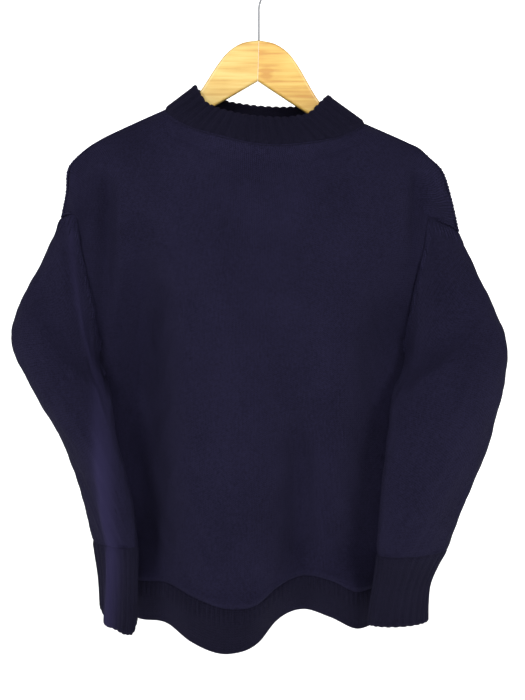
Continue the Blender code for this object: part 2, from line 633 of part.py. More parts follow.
def make_hook():
    """Steel wire: a stem, a bend to the right and a round hook over to the left."""
    turn = math.acos(HOOK_BEND / (HOOK_BEND + HOOK_RADIUS))
    centre_z = -HOOK_RADIUS + WIRE / 2
    bend_z = centre_z - (HOOK_BEND + HOOK_RADIUS) * math.sin(turn)
    route = [(0.0, z) for z in np.linspace(HOOK_FOOT, bend_z, 4)]
    for angle in np.linspace(0, turn, 7)[1:]:
        route.append((HOOK_BEND * (1 - math.cos(angle)), bend_z + HOOK_BEND * math.sin(angle)))
    for angle in np.linspace(-turn, HOOK_END, 25)[1:]:
        route.append((HOOK_RADIUS * math.cos(angle), centre_z + HOOK_RADIUS * math.sin(angle)))
    curve = bpy.data.curves.new("hook", "CURVE")
    curve.dimensions = "3D"
    curve.bevel_depth = WIRE / 2
    curve.bevel_resolution = 2
    curve.use_fill_caps = True
    wire = curve.splines.new("POLY")
    wire.points.add(len(route) - 1)
    for point, (x, z) in zip(wire.points, route):
        point.co = (x, 0.0, z, 1.0)
    finish("hook", curve, STEEL, roughness=0.35, sharp=40, metallic=1.0)


for old in list(bpy.data.objects):
    bpy.data.objects.remove(old, do_unlink=True)
make_garment()
make_hanger()
make_hook()
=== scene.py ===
"""A guernsey fisherman sweater on a flat wooden hanger.

Frame: origin at the inner top of the hook, +X to the right as seen from the front,
-Y to the front, +Z up, in metres.
"""
import math

import bpy
import numpy as np
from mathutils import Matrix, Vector


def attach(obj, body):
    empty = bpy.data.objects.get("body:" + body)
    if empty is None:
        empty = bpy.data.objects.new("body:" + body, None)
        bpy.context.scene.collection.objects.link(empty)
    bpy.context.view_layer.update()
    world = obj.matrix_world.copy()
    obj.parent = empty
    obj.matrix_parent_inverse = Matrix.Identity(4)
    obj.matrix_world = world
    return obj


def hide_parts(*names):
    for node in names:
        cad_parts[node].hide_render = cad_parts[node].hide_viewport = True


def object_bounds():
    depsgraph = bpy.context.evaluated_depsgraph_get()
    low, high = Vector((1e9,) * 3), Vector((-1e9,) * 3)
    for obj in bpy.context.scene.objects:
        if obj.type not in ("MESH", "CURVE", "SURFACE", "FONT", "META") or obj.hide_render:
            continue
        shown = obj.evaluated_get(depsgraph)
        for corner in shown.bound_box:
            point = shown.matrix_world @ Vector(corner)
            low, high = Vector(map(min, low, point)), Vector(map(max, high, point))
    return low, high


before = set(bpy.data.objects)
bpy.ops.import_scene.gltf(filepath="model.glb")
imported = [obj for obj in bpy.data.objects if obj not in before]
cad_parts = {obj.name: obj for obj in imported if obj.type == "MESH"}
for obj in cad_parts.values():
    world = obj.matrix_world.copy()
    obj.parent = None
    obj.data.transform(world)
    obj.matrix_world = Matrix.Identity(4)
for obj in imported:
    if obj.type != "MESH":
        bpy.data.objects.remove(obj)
cad_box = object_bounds()

# ------------------------------------------------------------------------- hook
# The hook is drawn steel wire, bent cold to a round and screwed into the top of
# the wood.  Years on a rail have left it dull, with faint lengthwise draw marks.
STEEL_DARK = (0.22, 0.23, 0.25, 1.0)
STEEL_GREY = (0.30, 0.31, 0.33, 1.0)
DRAW_MARKS = 900.0         # per metre across the wire
DRAW_LONG = 30.0           # per metre along it
DULLNESS = (0.28, 0.50)    # roughness, from a bright mark to a dull one


def shader_of(name):
    """A new node material's nodes, its links and its main shader."""
    material = bpy.data.materials.new(name)
    material.use_nodes = True
    tree = material.node_tree
    return material, tree, tree.nodes["Principled BSDF"]


def math_node(tree, operation, first, second=0.0):
    """A Math node of two inputs, each a number or another node's output."""
    node = tree.nodes.new("ShaderNodeMath")
    node.operation = operation
    for socket, given in zip(node.inputs, (first, second)):
        if isinstance(given, (int, float)):
            socket.default_value = given
        else:
            tree.links.new(given, socket)
    return node.outputs[0]


def noise_node(tree, vector, scale, detail=2.0):
    node = tree.nodes.new("ShaderNodeTexNoise")
    node.inputs["Scale"].default_value = scale
    node.inputs["Detail"].default_value = detail
    tree.links.new(vector, node.inputs["Vector"])
    return node.outputs["Fac"]


def ramp_node(tree, factor, stops):
    """A Color Ramp through (place, colour) stops."""
    node = tree.nodes.new("ShaderNodeValToRGB")
    ramp = node.color_ramp
    for place, colour in stops[1:-1]:
        ramp.elements.new(place).color = colour
    for element, (place, colour) in zip((ramp.elements[0], ramp.elements[-1]), (stops[0], stops[-1])):
        element.position = place
        element.color = colour
    tree.links.new(factor, node.inputs["Fac"])
    return node.outputs["Color"]


def paint(tree, shader, factor, stops):
    """Colour a material by a Color Ramp."""
    tree.links.new(ramp_node(tree, factor, stops), shader.inputs["Base Color"])


def bump_node(tree, shader, height, distance, strength=1.0):
    node = tree.nodes.new("ShaderNodeBump")
    node.inputs["Strength"].default_value = strength
    node.inputs["Distance"].default_value = distance
    tree.links.new(height, node.inputs["Height"])
    tree.links.new(node.outputs["Normal"], shader.inputs["Normal"])


def place_on(tree, scale=(1.0, 1.0, 1.0), turn=(0.0, 0.0, 0.0)):
    """Places on the object in metres, stretched and turned for a grain."""
    places = tree.nodes.new("ShaderNodeTexCoord")
    mapping = tree.nodes.new("ShaderNodeMapping")
    mapping.inputs["Scale"].default_value = scale
    mapping.inputs["Rotation"].default_value = turn
    tree.links.new(places.outputs["Object"], mapping.inputs["Vector"])
    return mapping.outputs["Vector"]


def cover(node_name, material):
    """Give a finished hard part its material."""
    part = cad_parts[node_name]
    part.data.materials.clear()
    part.data.materials.append(material)


steel, tree, shader = shader_of("dull_drawn_steel")
shader.inputs["Metallic"].default_value = 1.0
marks = noise_node(tree, place_on(tree, (DRAW_MARKS, DRAW_MARKS, DRAW_LONG)), 1.0)
paint(tree, shader, marks, [(0.3, STEEL_DARK), (0.7, STEEL_GREY)])
roughness = tree.nodes.new("ShaderNodeMapRange")
roughness.inputs["To Min"].default_value = DULLNESS[0]
roughness.inputs["To Max"].default_value = DULLNESS[1]
tree.links.new(marks, roughness.inputs["Value"])
tree.links.new(roughness.outputs["Result"], shader.inputs["Roughness"])
cover("hook", steel)

# ----------------------------------------------------------------------- hanger
# Two flat halves sawn from pale softwood, sanded round on their edges, glued up
# at the middle and given one coat of clear varnish that has yellowed.  The left
# half is painted paler than the right, as painted light.
GRAIN_LINES = 260.0        # per metre across the grain
GRAIN_LONG = 14.0          # and along it
GRAIN_THROUGH = 60.0       # and through the board
ARM_SLOPE = math.radians(24)
KNOT_AT = (0.0095, -0.006, -0.1335)
KNOT_SIZE = 0.010
KNOT_TONE = 0.25           # how far the knot darkens the grain
# The halves' colours differ by painted light: the left half is painted paler, for the light falling more on
# it, and the right half darker and more orange, as painted shade.
WOODS = {
    "node":  ("hanger_left_half", "hanger_right_half"),
    "name":  ("pale_varnished_wood", "orange_varnished_wood"),
    "slope": (-ARM_SLOPE, ARM_SLOPE),
    "light": ((0.70, 0.51, 0.158, 1.0), (0.69, 0.46, 0.111, 1.0)),
    "mid":   ((0.65, 0.42, 0.108, 1.0), (0.63, 0.385, 0.077, 1.0)),
    "dark":  ((0.55, 0.32, 0.068, 1.0), (0.54, 0.265, 0.043, 1.0)),
}
for node_name, name, slope, light, mid, dark in zip(*WOODS.values()):
    wood, tree, shader = shader_of(name)
    along = place_on(tree, (GRAIN_LONG, GRAIN_THROUGH, GRAIN_LINES), (0.0, slope, 0.0))
    grain = noise_node(tree, along, 1.0, detail=4.0)
    clouds = noise_node(tree, place_on(tree), 22.0)
    cloudy = math_node(tree, "MULTIPLY", clouds, 0.35)
    tone = math_node(tree, "ADD", math_node(tree, "MULTIPLY", grain, 0.65), cloudy)
    from_knot = tree.nodes.new("ShaderNodeVectorMath")
    from_knot.operation = "DISTANCE"
    from_knot.inputs[1].default_value = KNOT_AT
    tree.links.new(place_on(tree), from_knot.inputs[0])
    off_knot = math_node(tree, "DIVIDE", from_knot.outputs["Value"], KNOT_SIZE)
    knot = math_node(tree, "MAXIMUM", math_node(tree, "SUBTRACT", 1.0, off_knot), 0.0)
    tone = math_node(tree, "SUBTRACT", tone, math_node(tree, "MULTIPLY", knot, KNOT_TONE))
    paint(tree, shader, tone, [(0.34, dark), (0.47, mid), (0.60, light)])
    shader.inputs["Roughness"].default_value = 0.42
    shader.inputs["Coat Weight"].default_value = 0.25
    shader.inputs["Coat Roughness"].default_value = 0.25
    bump_node(tree, shader, grain, 0.0003)
    cover(node_name, wood)

# ----------------------------------------------------------- front of the body
# The body is knitted in five-ply worsted, in plain stitches so tight that they turn
# the rain.  The front hangs over the hanger's arms, bulges at the chest, and drops
# past the shoulders to the sleeve seams.
FABRIC = 0.0028            # thickness of the plain knitting
MITER_LIMIT = 0.7          # least lean that a seam's corner is lengthened for
STITCH_WIDE = 0.0034
STITCH_TALL = 0.0026
U_SHOULDER_END = 1.0       # across a panel: -1 at the left edge, +1 at the right
U_ARM_END = 0.80           # above the end of the hanger's arm
U_NECK = 0.46              # where the neckline meets the shoulder line
V_UNDERARM = 0.55          # up a panel: 0 at the welt seam, 1 at the top edge
STEPS_DROP = 16
STEPS_SHOULDER = 26
STEPS_NECK = 88
STEPS_SIDE = 84
STEPS_ARMHOLE = 72
CLOSER_AT_TOP = 1.35       # above 1 crowds the armhole's steps towards the shoulder
SHOULDER_Y = -0.003
SIDE_COLUMN = 0.70         # beyond this, across, the panel turns back to its side edge
SHOULDER_START = 0.74      # above this part of its height the body closes over the arms
SHOULDER_ROUND = 0.80      # 0 closes to a straight fold, 1 to a half round
LAST_ROUND = 0.97          # above this part of its height the drop rounds into its seam
NECK_CORNER = (0.14, 0.44)       # across, from the neck's open middle to its corner
FLUTE_FADE = 3.0           # above 1 keeps the hem's swings low
EDGE_FADE = 3.0            # above 1 keeps an edge's shape near that edge
SOFTEN_ROUNDS = 120
SHOULDER = {
    "u":       (0.46, 0.58, 0.70, 0.76, 0.80, 0.86, 0.92, 1.00),
    "x_left":  (-0.117, -0.158, -0.198, -0.214, -0.226, -0.237, -0.239, -0.246),
    "z_left":  (-0.178, -0.196, -0.215, -0.225, -0.235, -0.250, -0.275, -0.309),
    "x_right": (0.132, 0.160, 0.187, 0.201, 0.212, 0.228, 0.238, 0.249),
    "z_right": (-0.195, -0.207, -0.219, -0.226, -0.236, -0.252, -0.281, -0.326),
}
ARMHOLE = {
    "step":    (0, 1, 2, 3, 4, 5, 6),
    "x_left":  (-0.246, -0.234, -0.223, -0.219, -0.210, -0.205, -0.204),
    "z_left":  (-0.309, -0.306, -0.314, -0.345, -0.395, -0.440, -0.470),
    "x_right": (0.249, 0.229, 0.208, 0.203, 0.194, 0.188, 0.187),
    "z_right": (-0.326, -0.317, -0.312, -0.345, -0.395, -0.440, -0.470),
    "y_front": (-0.003, -0.022, -0.030, -0.026, -0.016, -0.002, 0.012),
    "y_back":  (-0.003, 0.018, 0.034, 0.034, 0.030, 0.024, 0.012),
}
SIDE = {
    "z":       (-0.470, -0.510, -0.570, -0.650, -0.768),
    "x_left":  (-0.204, -0.208, -0.208, -0.203, -0.190),
    "x_right": (0.187, 0.190, 0.192, 0.192, 0.190),
    "y":       (0.012, 0.015, 0.018, 0.021, 0.022),
}
NECK_SEAM = {"left": (-0.117, -0.178), "right": (0.132, -0.195),
             "front": 0.056, "front_dip": 0.0375, "back": 0.050, "back_dip": 0.019, "fall": "seam"}
# How much of its dip the neck seam, and the band's edge above it, have reached by
# each share of the way across the front.
NECK_FALL = {
    "share": (0.00, 0.03, 0.07, 0.12, 0.25, 0.50, 0.75, 0.87, 0.94, 1.00),
    "seam":  (0.00, 0.20, 0.38, 0.54, 0.76, 1.00, 0.77, 0.54, 0.30, 0.00),
    "edge":  (0.00, 0.25, 0.55, 0.70, 0.88, 1.00, 0.88, 0.66, 0.30, 0.00),
}
FRONT_DEPTH = {
    "v":      (0.00, 0.20, 0.45, 0.70, 0.86, 1.00),
    "middle": (-0.050, -0.056, -0.062, -0.064, -0.062, -0.058),
    "left":   (-0.030, -0.034, -0.038, -0.040, -0.036, -0.034),
    "right":  (-0.034, -0.040, -0.044, -0.046, -0.040, -0.036),
    "turn":   (1.7, 1.7, 1.8, 2.2, 2.8, 3.0),
}
# Where the hem swings to the front and back: at the welt's seam and at its edge.
FRONT_FLUTES = {
    "x":      (-0.190, -0.157, -0.117, -0.085, -0.035, 0.000,
               0.022, 0.055, 0.090, 0.125, 0.160, 0.190),
    "y_seam": (0.022, -0.020, -0.032, -0.055, -0.078, -0.064,
               -0.036, -0.012, -0.028, -0.040, -0.012, 0.022),
    "z_seam": (-0.768, -0.770, -0.771, -0.781, -0.790, -0.788,
               -0.777, -0.768, -0.769, -0.780, -0.776, -0.768),
    "y_edge": (0.024, -0.020, -0.036, -0.070, -0.092, -0.070,
               -0.034, -0.008, -0.030, -0.042, -0.012, 0.024),
    "z_edge": (-0.816, -0.820, -0.822, -0.834, -0.8415, -0.835,
               -0.820, -0.813, -0.816, -0.827, -0.823, -0.816),
}
# Soft troughs of the front, where it sinks beside the sleeves and between the hem's
# lobes: from (x0, z0) to (x1, z1), how deep and how wide.
FRONT_TROUGHS = {
    "x0":    (-0.186, -0.140, -0.146, 0.196, 0.162, 0.050),
    "z0":    (-0.250, -0.290, -0.360, -0.250, -0.390, -0.550),
    "x1":    (-0.199, -0.146, -0.161, 0.195, 0.122, 0.052),
    "z1":    (-0.460, -0.520, -0.810, -0.375, -0.820, -0.820),
    "depth": (0.026, 0.008, 0.054, 0.024, 0.033, 0.025),
    "width": (0.012, 0.024, 0.034, 0.010, 0.036, 0.019),
}
# Slack in the knitting: waves this long across and up, and this deep.
SLACK = {
    "across": (0.061, 0.034, 0.021),
    "up":     (0.083, 0.047, 0.029),
    "deep":   (0.0007, 0.0004, 0.00025),
}
CAP_RIDGE = 0.0052         # pitch of the purl ridges on the dropped shoulder
CAP_DEEP = 0.0010


def smooth(keys, values, at):
    """Read a smooth curve through a table's points; a value may be a whole ring."""
    keys, values = np.asarray(keys, float), np.asarray(values, float)
    order = np.argsort(keys)
    keys, values = keys[order], values[order]
    slopes = np.gradient(values, keys, axis=0)
    at = np.clip(np.asarray(at, float), keys[0], keys[-1])
    k = np.clip(np.searchsorted(keys, at) - 1, 0, len(keys) - 2)
    span = keys[k + 1] - keys[k]
    t = (at - keys[k]) / span
    spread = t.shape + (1,) * (values.ndim - 1)
    t, span = t.reshape(spread), span.reshape(spread)
    rise = t * t * (3 - 2 * t)
    start = t * (1 - t) ** 2 * span
    end = -t * t * (1 - t) * span
    return values[k] * (1 - rise) + values[k + 1] * rise + slopes[k] * start + slopes[k + 1] * end


def ease(low, high, at):
    t = np.clip((at - low) / (high - low), 0.0, 1.0)
    return t * t * (3 - 2 * t)


def steps(*stretches):
    """Stations along an edge: even steps inside each (start, end, count) stretch."""
    stations = [stretches[0][0]]
    for start, end, count in stretches:
        stations.extend(np.linspace(start, end, count + 1)[1:])
    return np.array(stations)


def unit(vectors):
    return vectors / np.maximum(np.linalg.norm(vectors, axis=-1, keepdims=True), 1e-12)


ACROSS = steps((-U_SHOULDER_END, -U_ARM_END, STEPS_DROP), (-U_ARM_END, -U_NECK, STEPS_SHOULDER),
               (-U_NECK, U_NECK, STEPS_NECK), (U_NECK, U_ARM_END, STEPS_SHOULDER),
               (U_ARM_END, U_SHOULDER_END, STEPS_DROP))
DOWN_ARMHOLE = np.linspace(1.0, 0.0, STEPS_ARMHOLE + 1)[1:] ** CLOSER_AT_TOP
UP = np.concatenate([np.linspace(0.0, V_UNDERARM, STEPS_SIDE + 1), 1 - (1 - V_UNDERARM) * DOWN_ARMHOLE])
ON_SHOULDER = np.abs(ACROSS) >= U_NECK - 1e-9
SIDES = (0, -1)


def neck_line(oval, place, face):
    """Points of a neckline: place runs from 0 at the left to 1 at the right."""
    share = (place + 0.5 - 0.5 * np.cos(np.pi * place)) / 2
    x = oval["left"][0] + share * (oval["right"][0] - oval["left"][0])
    z = oval["left"][1] + share * (oval["right"][1] - oval["left"][1])
    out = 2 * np.sqrt(np.maximum(share * (1 - share), 0.0))
    if face == "front":
        fall = smooth(NECK_FALL["share"], NECK_FALL[oval["fall"]], share)
        return np.stack([x, SHOULDER_Y - oval["front"] * out, z - oval["front_dip"] * fall], axis=-1)
    return np.stack([x, SHOULDER_Y + oval["back"] * out, z - oval["back_dip"] * out], axis=-1)


def top_line(u, face):
    """A panel's top edge: neckline in the middle, shoulder line at each side."""
    in_neck = neck_line(NECK_SEAM, np.clip(u / U_NECK + 1, 0, 2) / 2, face)
    x, z = (np.where(u < 0, smooth(SHOULDER["u"], SHOULDER[axis + "_left"], np.abs(u)),
                     smooth(SHOULDER["u"], SHOULDER[axis + "_right"], np.abs(u))) for axis in "xz")
    over = np.stack([x, np.full(len(u), SHOULDER_Y), z], axis=-1)
    return np.where(np.abs(u)[:, None] < U_NECK - 1e-9, in_neck, over)


def side_line(v, side, face):
    """A panel's side: the side line up to the underarm, then the armhole."""
    step = ARMHOLE["step"][-1] * (1 - v) / (1 - V_UNDERARM)
    arm = [smooth(ARMHOLE["step"], ARMHOLE[name], step) for name in ("x_" + side, "y_" + face, "z_" + side)]
    z = SIDE["z"][-1] + (SIDE["z"][0] - SIDE["z"][-1]) * np.minimum(v / V_UNDERARM, 1)
    low = [smooth(SIDE["z"], SIDE["x_" + side], z), smooth(SIDE["z"], SIDE["y"], z), z]
    return np.where((v >= V_UNDERARM)[:, None], np.stack(arm, -1), np.stack(low, -1))


def hem_line(u, flutes, line):
    """A line of the welt: its seam with the body, or its free edge."""
    x = flutes["x"][0] + (flutes["x"][-1] - flutes["x"][0]) * (u + 1) / 2
    y, z = (smooth(flutes["x"], flutes[axis + line], x) for axis in ("y_", "z_"))
    return np.stack([x, y, z], axis=-1)


def body_depth(u, v, depth, left_y, right_y):
    """How far a panel stands to the front or the back, before flutes and troughs."""
    middle, left, right, turn = (smooth(depth["v"], depth[name], v)[:, None]
                                 for name in ("middle", "left", "right", "turn"))
    flank = np.where(u < 0, left, right)
    edge = np.where(u < 0, left_y[:, None], right_y[:, None])
    out = np.abs(u)[None, :]
    inner = middle + (flank - middle) * (out / SIDE_COLUMN) ** 2
    beyond = np.clip((out - SIDE_COLUMN) / (1 - SIDE_COLUMN), 0, 1)
    slope = 2 * (flank - middle) / SIDE_COLUMN
    outer = flank + slope * (out - SIDE_COLUMN) * (1 - beyond) + (edge - flank) * beyond ** turn
    return np.where(out <= SIDE_COLUMN, inner, outer)


def troughs_at(x, z, troughs):
    """Depth of the soft troughs at places of a panel, each dying out at its ends."""
    total = np.zeros_like(x)
    for x0, z0, x1, z1, deep, wide in zip(*troughs.values()):
        along = np.array([x1 - x0, z1 - z0])
        share = np.clip(((x - x0) * along[0] + (z - z0) * along[1]) / (along @ along), 0, 1)
        away = np.hypot(x - x0 - share * along[0], z - z0 - share * along[1])
        total += deep * (1 - (2 * share - 1) ** 4) * np.exp(-((away / wide) ** 2))
    return total


def body_sheet(face, flutes, depth, troughs=None):
    """The smooth outside of the front or the back panel."""
    u, v = ACROSS, UP
    share, height = ((u + 1) / 2)[None, :, None], v[:, None, None]
    left, right = side_line(v, "left", face), side_line(v, "right", face)
    hem, top = hem_line(u, flutes, "seam"), top_line(u, face)
    low = (1 - share) * hem[0] + share * hem[-1]
    high = (1 - share) * top[0] + share * top[-1]
    near_top = np.concatenate([height ** EDGE_FADE, height, height], axis=-1)
    sheet = (1 - height) * low + height * high + (1 - height) * (hem - low) + near_top * (top - high)
    sheet = sheet + (1 - share) ** EDGE_FADE * (left[:, None] - (1 - height) * hem[0] - height * top[0])
    sheet = sheet + share ** EDGE_FADE * (right[:, None] - (1 - height) * hem[-1] - height * top[-1])
    y = body_depth(u, v, depth, left[:, 1], right[:, 1])
    foot = body_depth(u, np.zeros(1), depth, hem[:1, 1], hem[-1:, 1])
    y = y + (hem[None, :, 1] - foot) * (1 - v[:, None]) ** FLUTE_FADE
    rise = np.clip((v - SHOULDER_START) / (1 - SHOULDER_START), 0, 1)[:, None]
    rounded = SHOULDER_ROUND * ease(*NECK_CORNER, np.abs(u))
    keep = rounded * np.sqrt(1 - rise ** 2) + (1 - rounded) * (1 - rise)
    keep = keep + (1 - keep) * ease(0.9, 1.0, np.abs(u))
    keep = keep * np.sqrt(1 - np.clip((v[:, None] - LAST_ROUND) / (1 - LAST_ROUND), 0, 1) ** 2)
    y = np.where(rise > 0, top[:, 1] + (y - top[:, 1]) * keep, y)
    sheet[1:-1, 1:-1, 1] = y[1:-1, 1:-1]
    sheet = soften(sheet)
    if troughs:
        free = (1 - np.abs(u) ** 12) * ease(0.0, 0.08, v)[:, None] * (1 - ease(0.95, 1.0, v))[:, None]
        sheet[..., 1] += troughs_at(sheet[..., 0], sheet[..., 2], troughs) * free
    return sheet


def soften(sheet):
    """Let the rows run smoothly past the neck's corners, as slack knitting does."""
    give = (1 - ease(0.93, 1.0, UP)) * ease(0.0, 0.05, UP)
    give = 0.5 * give[1:-1, None, None]
    for _ in range(SOFTEN_ROUNDS):
        between = (sheet[1:-1, :-2] + sheet[1:-1, 2:]) / 2
        sheet[1:-1, 1:-1] += give * (between - sheet[1:-1, 1:-1])
    return sheet


def grid_normals(grid, closed):
    """Outward directions of a grid whose rows run across and whose columns run up."""
    if closed:
        across = np.roll(grid, -1, axis=1) - np.roll(grid, 1, axis=1)
    else:
        across = np.gradient(grid, axis=1)
    return unit(np.cross(across, np.gradient(grid, axis=0)))


def body_normals(face, grid):
    """Outward directions, kept in the seam's plane along the shoulders and sides."""
    normals = grid_normals(grid, closed=False) * (1 if face == "front" else -1)
    normals[-1, ON_SHOULDER, 1] = 0.0
    normals[:STEPS_SIDE + 1, SIDES, 1] = 0.0
    return unit(normals)


def lengths(points, axis):
    """Running length along a grid's middle line, from its first point."""
    middle = np.take(points, points.shape[1 - axis] // 2, axis=1 - axis)
    return np.concatenate([[0.0], np.cumsum(np.linalg.norm(np.diff(middle, axis=0), axis=1))])


def slack(across, up):
    """Small waves that hand-washed knitting hangs in, by places in metres."""
    waves = 0.0
    for number, (long, tall, deep) in enumerate(zip(*SLACK.values())):
        lean = 1.7 * number + 0.6
        waves = waves + deep * np.sin(2 * np.pi * (across / long + 0.35 * np.sin(up / tall) + lean)) \
            * np.sin(2 * np.pi * (up / tall + 0.4 * np.sin(across / long) + 0.3 * lean))
    return waves


def soft_rim(outer, inner, before):
    """Three rows that round an edge over from its outside to its inside."""
    middle, reach = (outer + inner) / 2, (outer - inner) / 2
    ahead = unit(outer - before) * np.linalg.norm(reach, axis=-1, keepdims=True)
    turns = (0.25 * math.pi, 0.5 * math.pi, 0.75 * math.pi)
    return [middle + reach * math.cos(turn) + ahead * math.sin(turn) for turn in turns]


def new_piece(name, points, faces, places, wool):
    """A piece from its points and faces, with its stitch counts at each corner."""
    mesh = bpy.data.meshes.new(name)
    mesh.from_pydata(points, [], faces)
    layer = mesh.uv_layers.new(name="stitches")
    layer.data.foreach_set("uv", places.ravel())
    mesh.materials.append(wool)
    mesh.shade_smooth()
    piece = bpy.data.objects.new(name, mesh)
    bpy.context.scene.collection.objects.link(piece)
    return piece


def knit_wall(name, outside, inside, wool, closed, flip=False, painted_highlight=None):
    """Join an outside and an inside grid into one closed wall with soft edges.

    The stitches layer counts stitches across and rows up, for the wool's pattern,
    and the last argument, when given, is a painted highlight: how far each point
    of the outside is painted paler on its folds, from 0 to 1.
    """
    rows, columns = outside.shape[:2]
    across, up = lengths(outside, 1) / STITCH_WIDE, lengths(outside, 0) / STITCH_TALL
    if closed:
        around = across[-1] + np.linalg.norm(outside[rows // 2, 0] - outside[rows // 2, -1]) / STITCH_WIDE
        across = np.append(across, around) * round(around) / around
    top = soft_rim(outside[-1], inside[-1], outside[-2])
    foot = soft_rim(inside[0], outside[0], inside[1])
    loop = np.array([*outside, *top, *inside[::-1], *foot])
    counts = np.concatenate([up, [up[-1]] * 3, up[::-1], [0.0] * 3])
    total = len(loop)
    spans = columns if closed else columns - 1
    row, column = (axis.ravel() for axis in np.meshgrid(np.arange(total), np.arange(spans), indexing="ij"))
    after, above = (column + 1) % columns, (row + 1) % total
    faces = np.stack([row * columns + column, row * columns + after,
                      above * columns + after, above * columns + column], axis=-1)
    count_x = np.stack([across[column], across[column + 1], across[column + 1], across[column]], axis=-1)
    count_y = np.stack([counts[row], counts[row], counts[above], counts[above]], axis=-1)
    faces, count_x, count_y = faces.tolist(), count_x.tolist(), count_y.tolist()
    if not closed:
        inner = [total - 4 - index for index in range(rows)]
        for end, turned in ((0, True), (columns - 1, False)):
            caps = [[index, index + 1, inner[index + 1], inner[index]] for index in range(rows - 1)]
            caps.append([rows - 1, rows, rows + 1, rows + 2, rows + 3])
            caps.append([total - 4, total - 3, total - 2, total - 1, 0])
            for cap in caps:
                cap = cap if turned else cap[::-1]
                faces.append([index * columns + end for index in cap])
                count_x.append([across[end]] * len(cap))
                count_y.append([counts[index] for index in cap])
    if flip:
        faces, count_x, count_y = ([part[::-1] for part in parts] for parts in (faces, count_x, count_y))
    places = np.stack([np.concatenate(count_x), np.concatenate(count_y)], axis=-1)
    piece = new_piece(name, loop.reshape(-1, 3).tolist(), faces, places, wool)
    # The painted highlight is kept as a point attribute on the outside's points.
    if painted_highlight is not None:
        highlight_layer = piece.data.attributes.new("painted_highlight", "FLOAT", "POINT")
        no_highlight = np.zeros((total - rows) * columns)
        highlight_layer.data.foreach_set("value", np.concatenate([painted_highlight.ravel(), no_highlight]))
    return piece


def mixed(tree, *shares):
    """The sum of outputs, each (output, share) taken by its share."""
    total = math_node(tree, "MULTIPLY", *shares[0])
    for output, share in shares[1:]:
        total = math_node(tree, "ADD", total, math_node(tree, "MULTIPLY", output, share))
    return total


def swing(tree, angle):
    """The size of an angle's sine."""
    return math_node(tree, "ABSOLUTE", math_node(tree, "SINE", angle))


def worsted(name, dark, lit, vee, lift=0.0011):
    """Five-ply worsted.  vee is how far each stitch's legs lean: 1 in plain knitting."""
    wool, tree, shader = shader_of(name)
    counts = tree.nodes.new("ShaderNodeUVMap")
    counts.uv_map = "stitches"
    split = tree.nodes.new("ShaderNodeSeparateXYZ")
    tree.links.new(counts.outputs["UV"], split.inputs["Vector"])
    fuzz = noise_node(tree, place_on(tree), 700.0, detail=3.0)
    shift = noise_node(tree, place_on(tree), 90.0)
    x = math_node(tree, "ADD", split.outputs["X"], math_node(tree, "MULTIPLY", shift, 0.5))
    y = math_node(tree, "ADD", split.outputs["Y"], math_node(tree, "MULTIPLY", fuzz, 0.35))
    fold = math_node(tree, "MULTIPLY", math_node(tree, "PINGPONG", x, 0.5), 2.0 * vee)
    leg = swing(tree, math_node(tree, "MULTIPLY", math_node(tree, "ADD", y, fold), math.pi))
    half = swing(tree, math_node(tree, "MULTIPLY", x, 2 * math.pi))
    leg, half = math_node(tree, "POWER", leg, 0.7), math_node(tree, "POWER", half, 0.6)
    strand = math_node(tree, "MULTIPLY", leg, half)
    bump_node(tree, shader, mixed(tree, (strand, 0.8), (fuzz, 0.35)), lift, 0.9)
    # The colour runs from dark to lit with the tone below. The flecks and clouds are the yarn's own
    # heathered tone; the strand pattern is painted shade, darker in the gaps between the stitch legs.
    clouds = noise_node(tree, place_on(tree), 14.0, detail=3.0)
    flecks = noise_node(tree, place_on(tree), 420.0, detail=1.0)
    tone = mixed(tree, (strand, 0.45), (flecks, 0.5), (clouds, 0.25))
    # Painted highlight: the colour is mixed towards a paler navy where a point attribute marks a fold that
    # catches the light.
    painted_highlight = tree.nodes.new("ShaderNodeAttribute")
    painted_highlight.attribute_name = "painted_highlight"
    highlighted = tree.nodes.new("ShaderNodeMix")
    highlighted.data_type = "RGBA"
    tree.links.new(painted_highlight.outputs["Fac"], highlighted.inputs["Factor"])
    tree.links.new(ramp_node(tree, tone, [(0.30, dark), (0.85, lit)]), highlighted.inputs[6])
    highlighted.inputs[7].default_value = HIGHLIGHT_NAVY
    tree.links.new(highlighted.outputs[2], shader.inputs["Base Color"])
    shader.inputs["Roughness"].default_value = 0.9
    shader.inputs["Specular IOR Level"].default_value = 0.04
    shader.inputs["Sheen Weight"].default_value = 0.03
    shader.inputs["Sheen Roughness"].default_value = 0.5
    shader.inputs["Sheen Tint"].default_value = SHEEN_BLUE
    return wool


# The dark end is partly painted shade, for the gaps between the stitch legs.
NAVY_DARK = (0.0030, 0.0027, 0.0076, 1.0)
NAVY_LIT = (0.0178, 0.0160, 0.0415, 1.0)
SHEEN_BLUE = (0.50, 0.46, 1.0, 1.0)
HIGHLIGHT_NAVY = (0.0250, 0.0215, 0.0610, 1.0)    # painted highlight: the folds' paler navy stands in for the light they catch
plain_wool = worsted("plain_navy_worsted", NAVY_DARK, NAVY_LIT, vee=1.0)

front = body_sheet("front", FRONT_FLUTES, FRONT_DEPTH, FRONT_TROUGHS)
front_out = body_normals("front", front)


def cap_ridges(sheet, across, up):
    """Purl ridges on the dropped shoulder, between the arm's end and the sleeve seam."""
    on_cap = ease(U_ARM_END + 0.02, U_ARM_END + 0.06, np.abs(across))[None, :]
    on_cap = on_cap * ease(0.80, 0.85, up)[:, None] * (1 - ease(0.985, 1.0, up)[:, None])
    ridge = np.maximum(np.sin(2 * np.pi * sheet[..., 2] / CAP_RIDGE), -0.3)
    return CAP_DEEP * on_cap * ridge


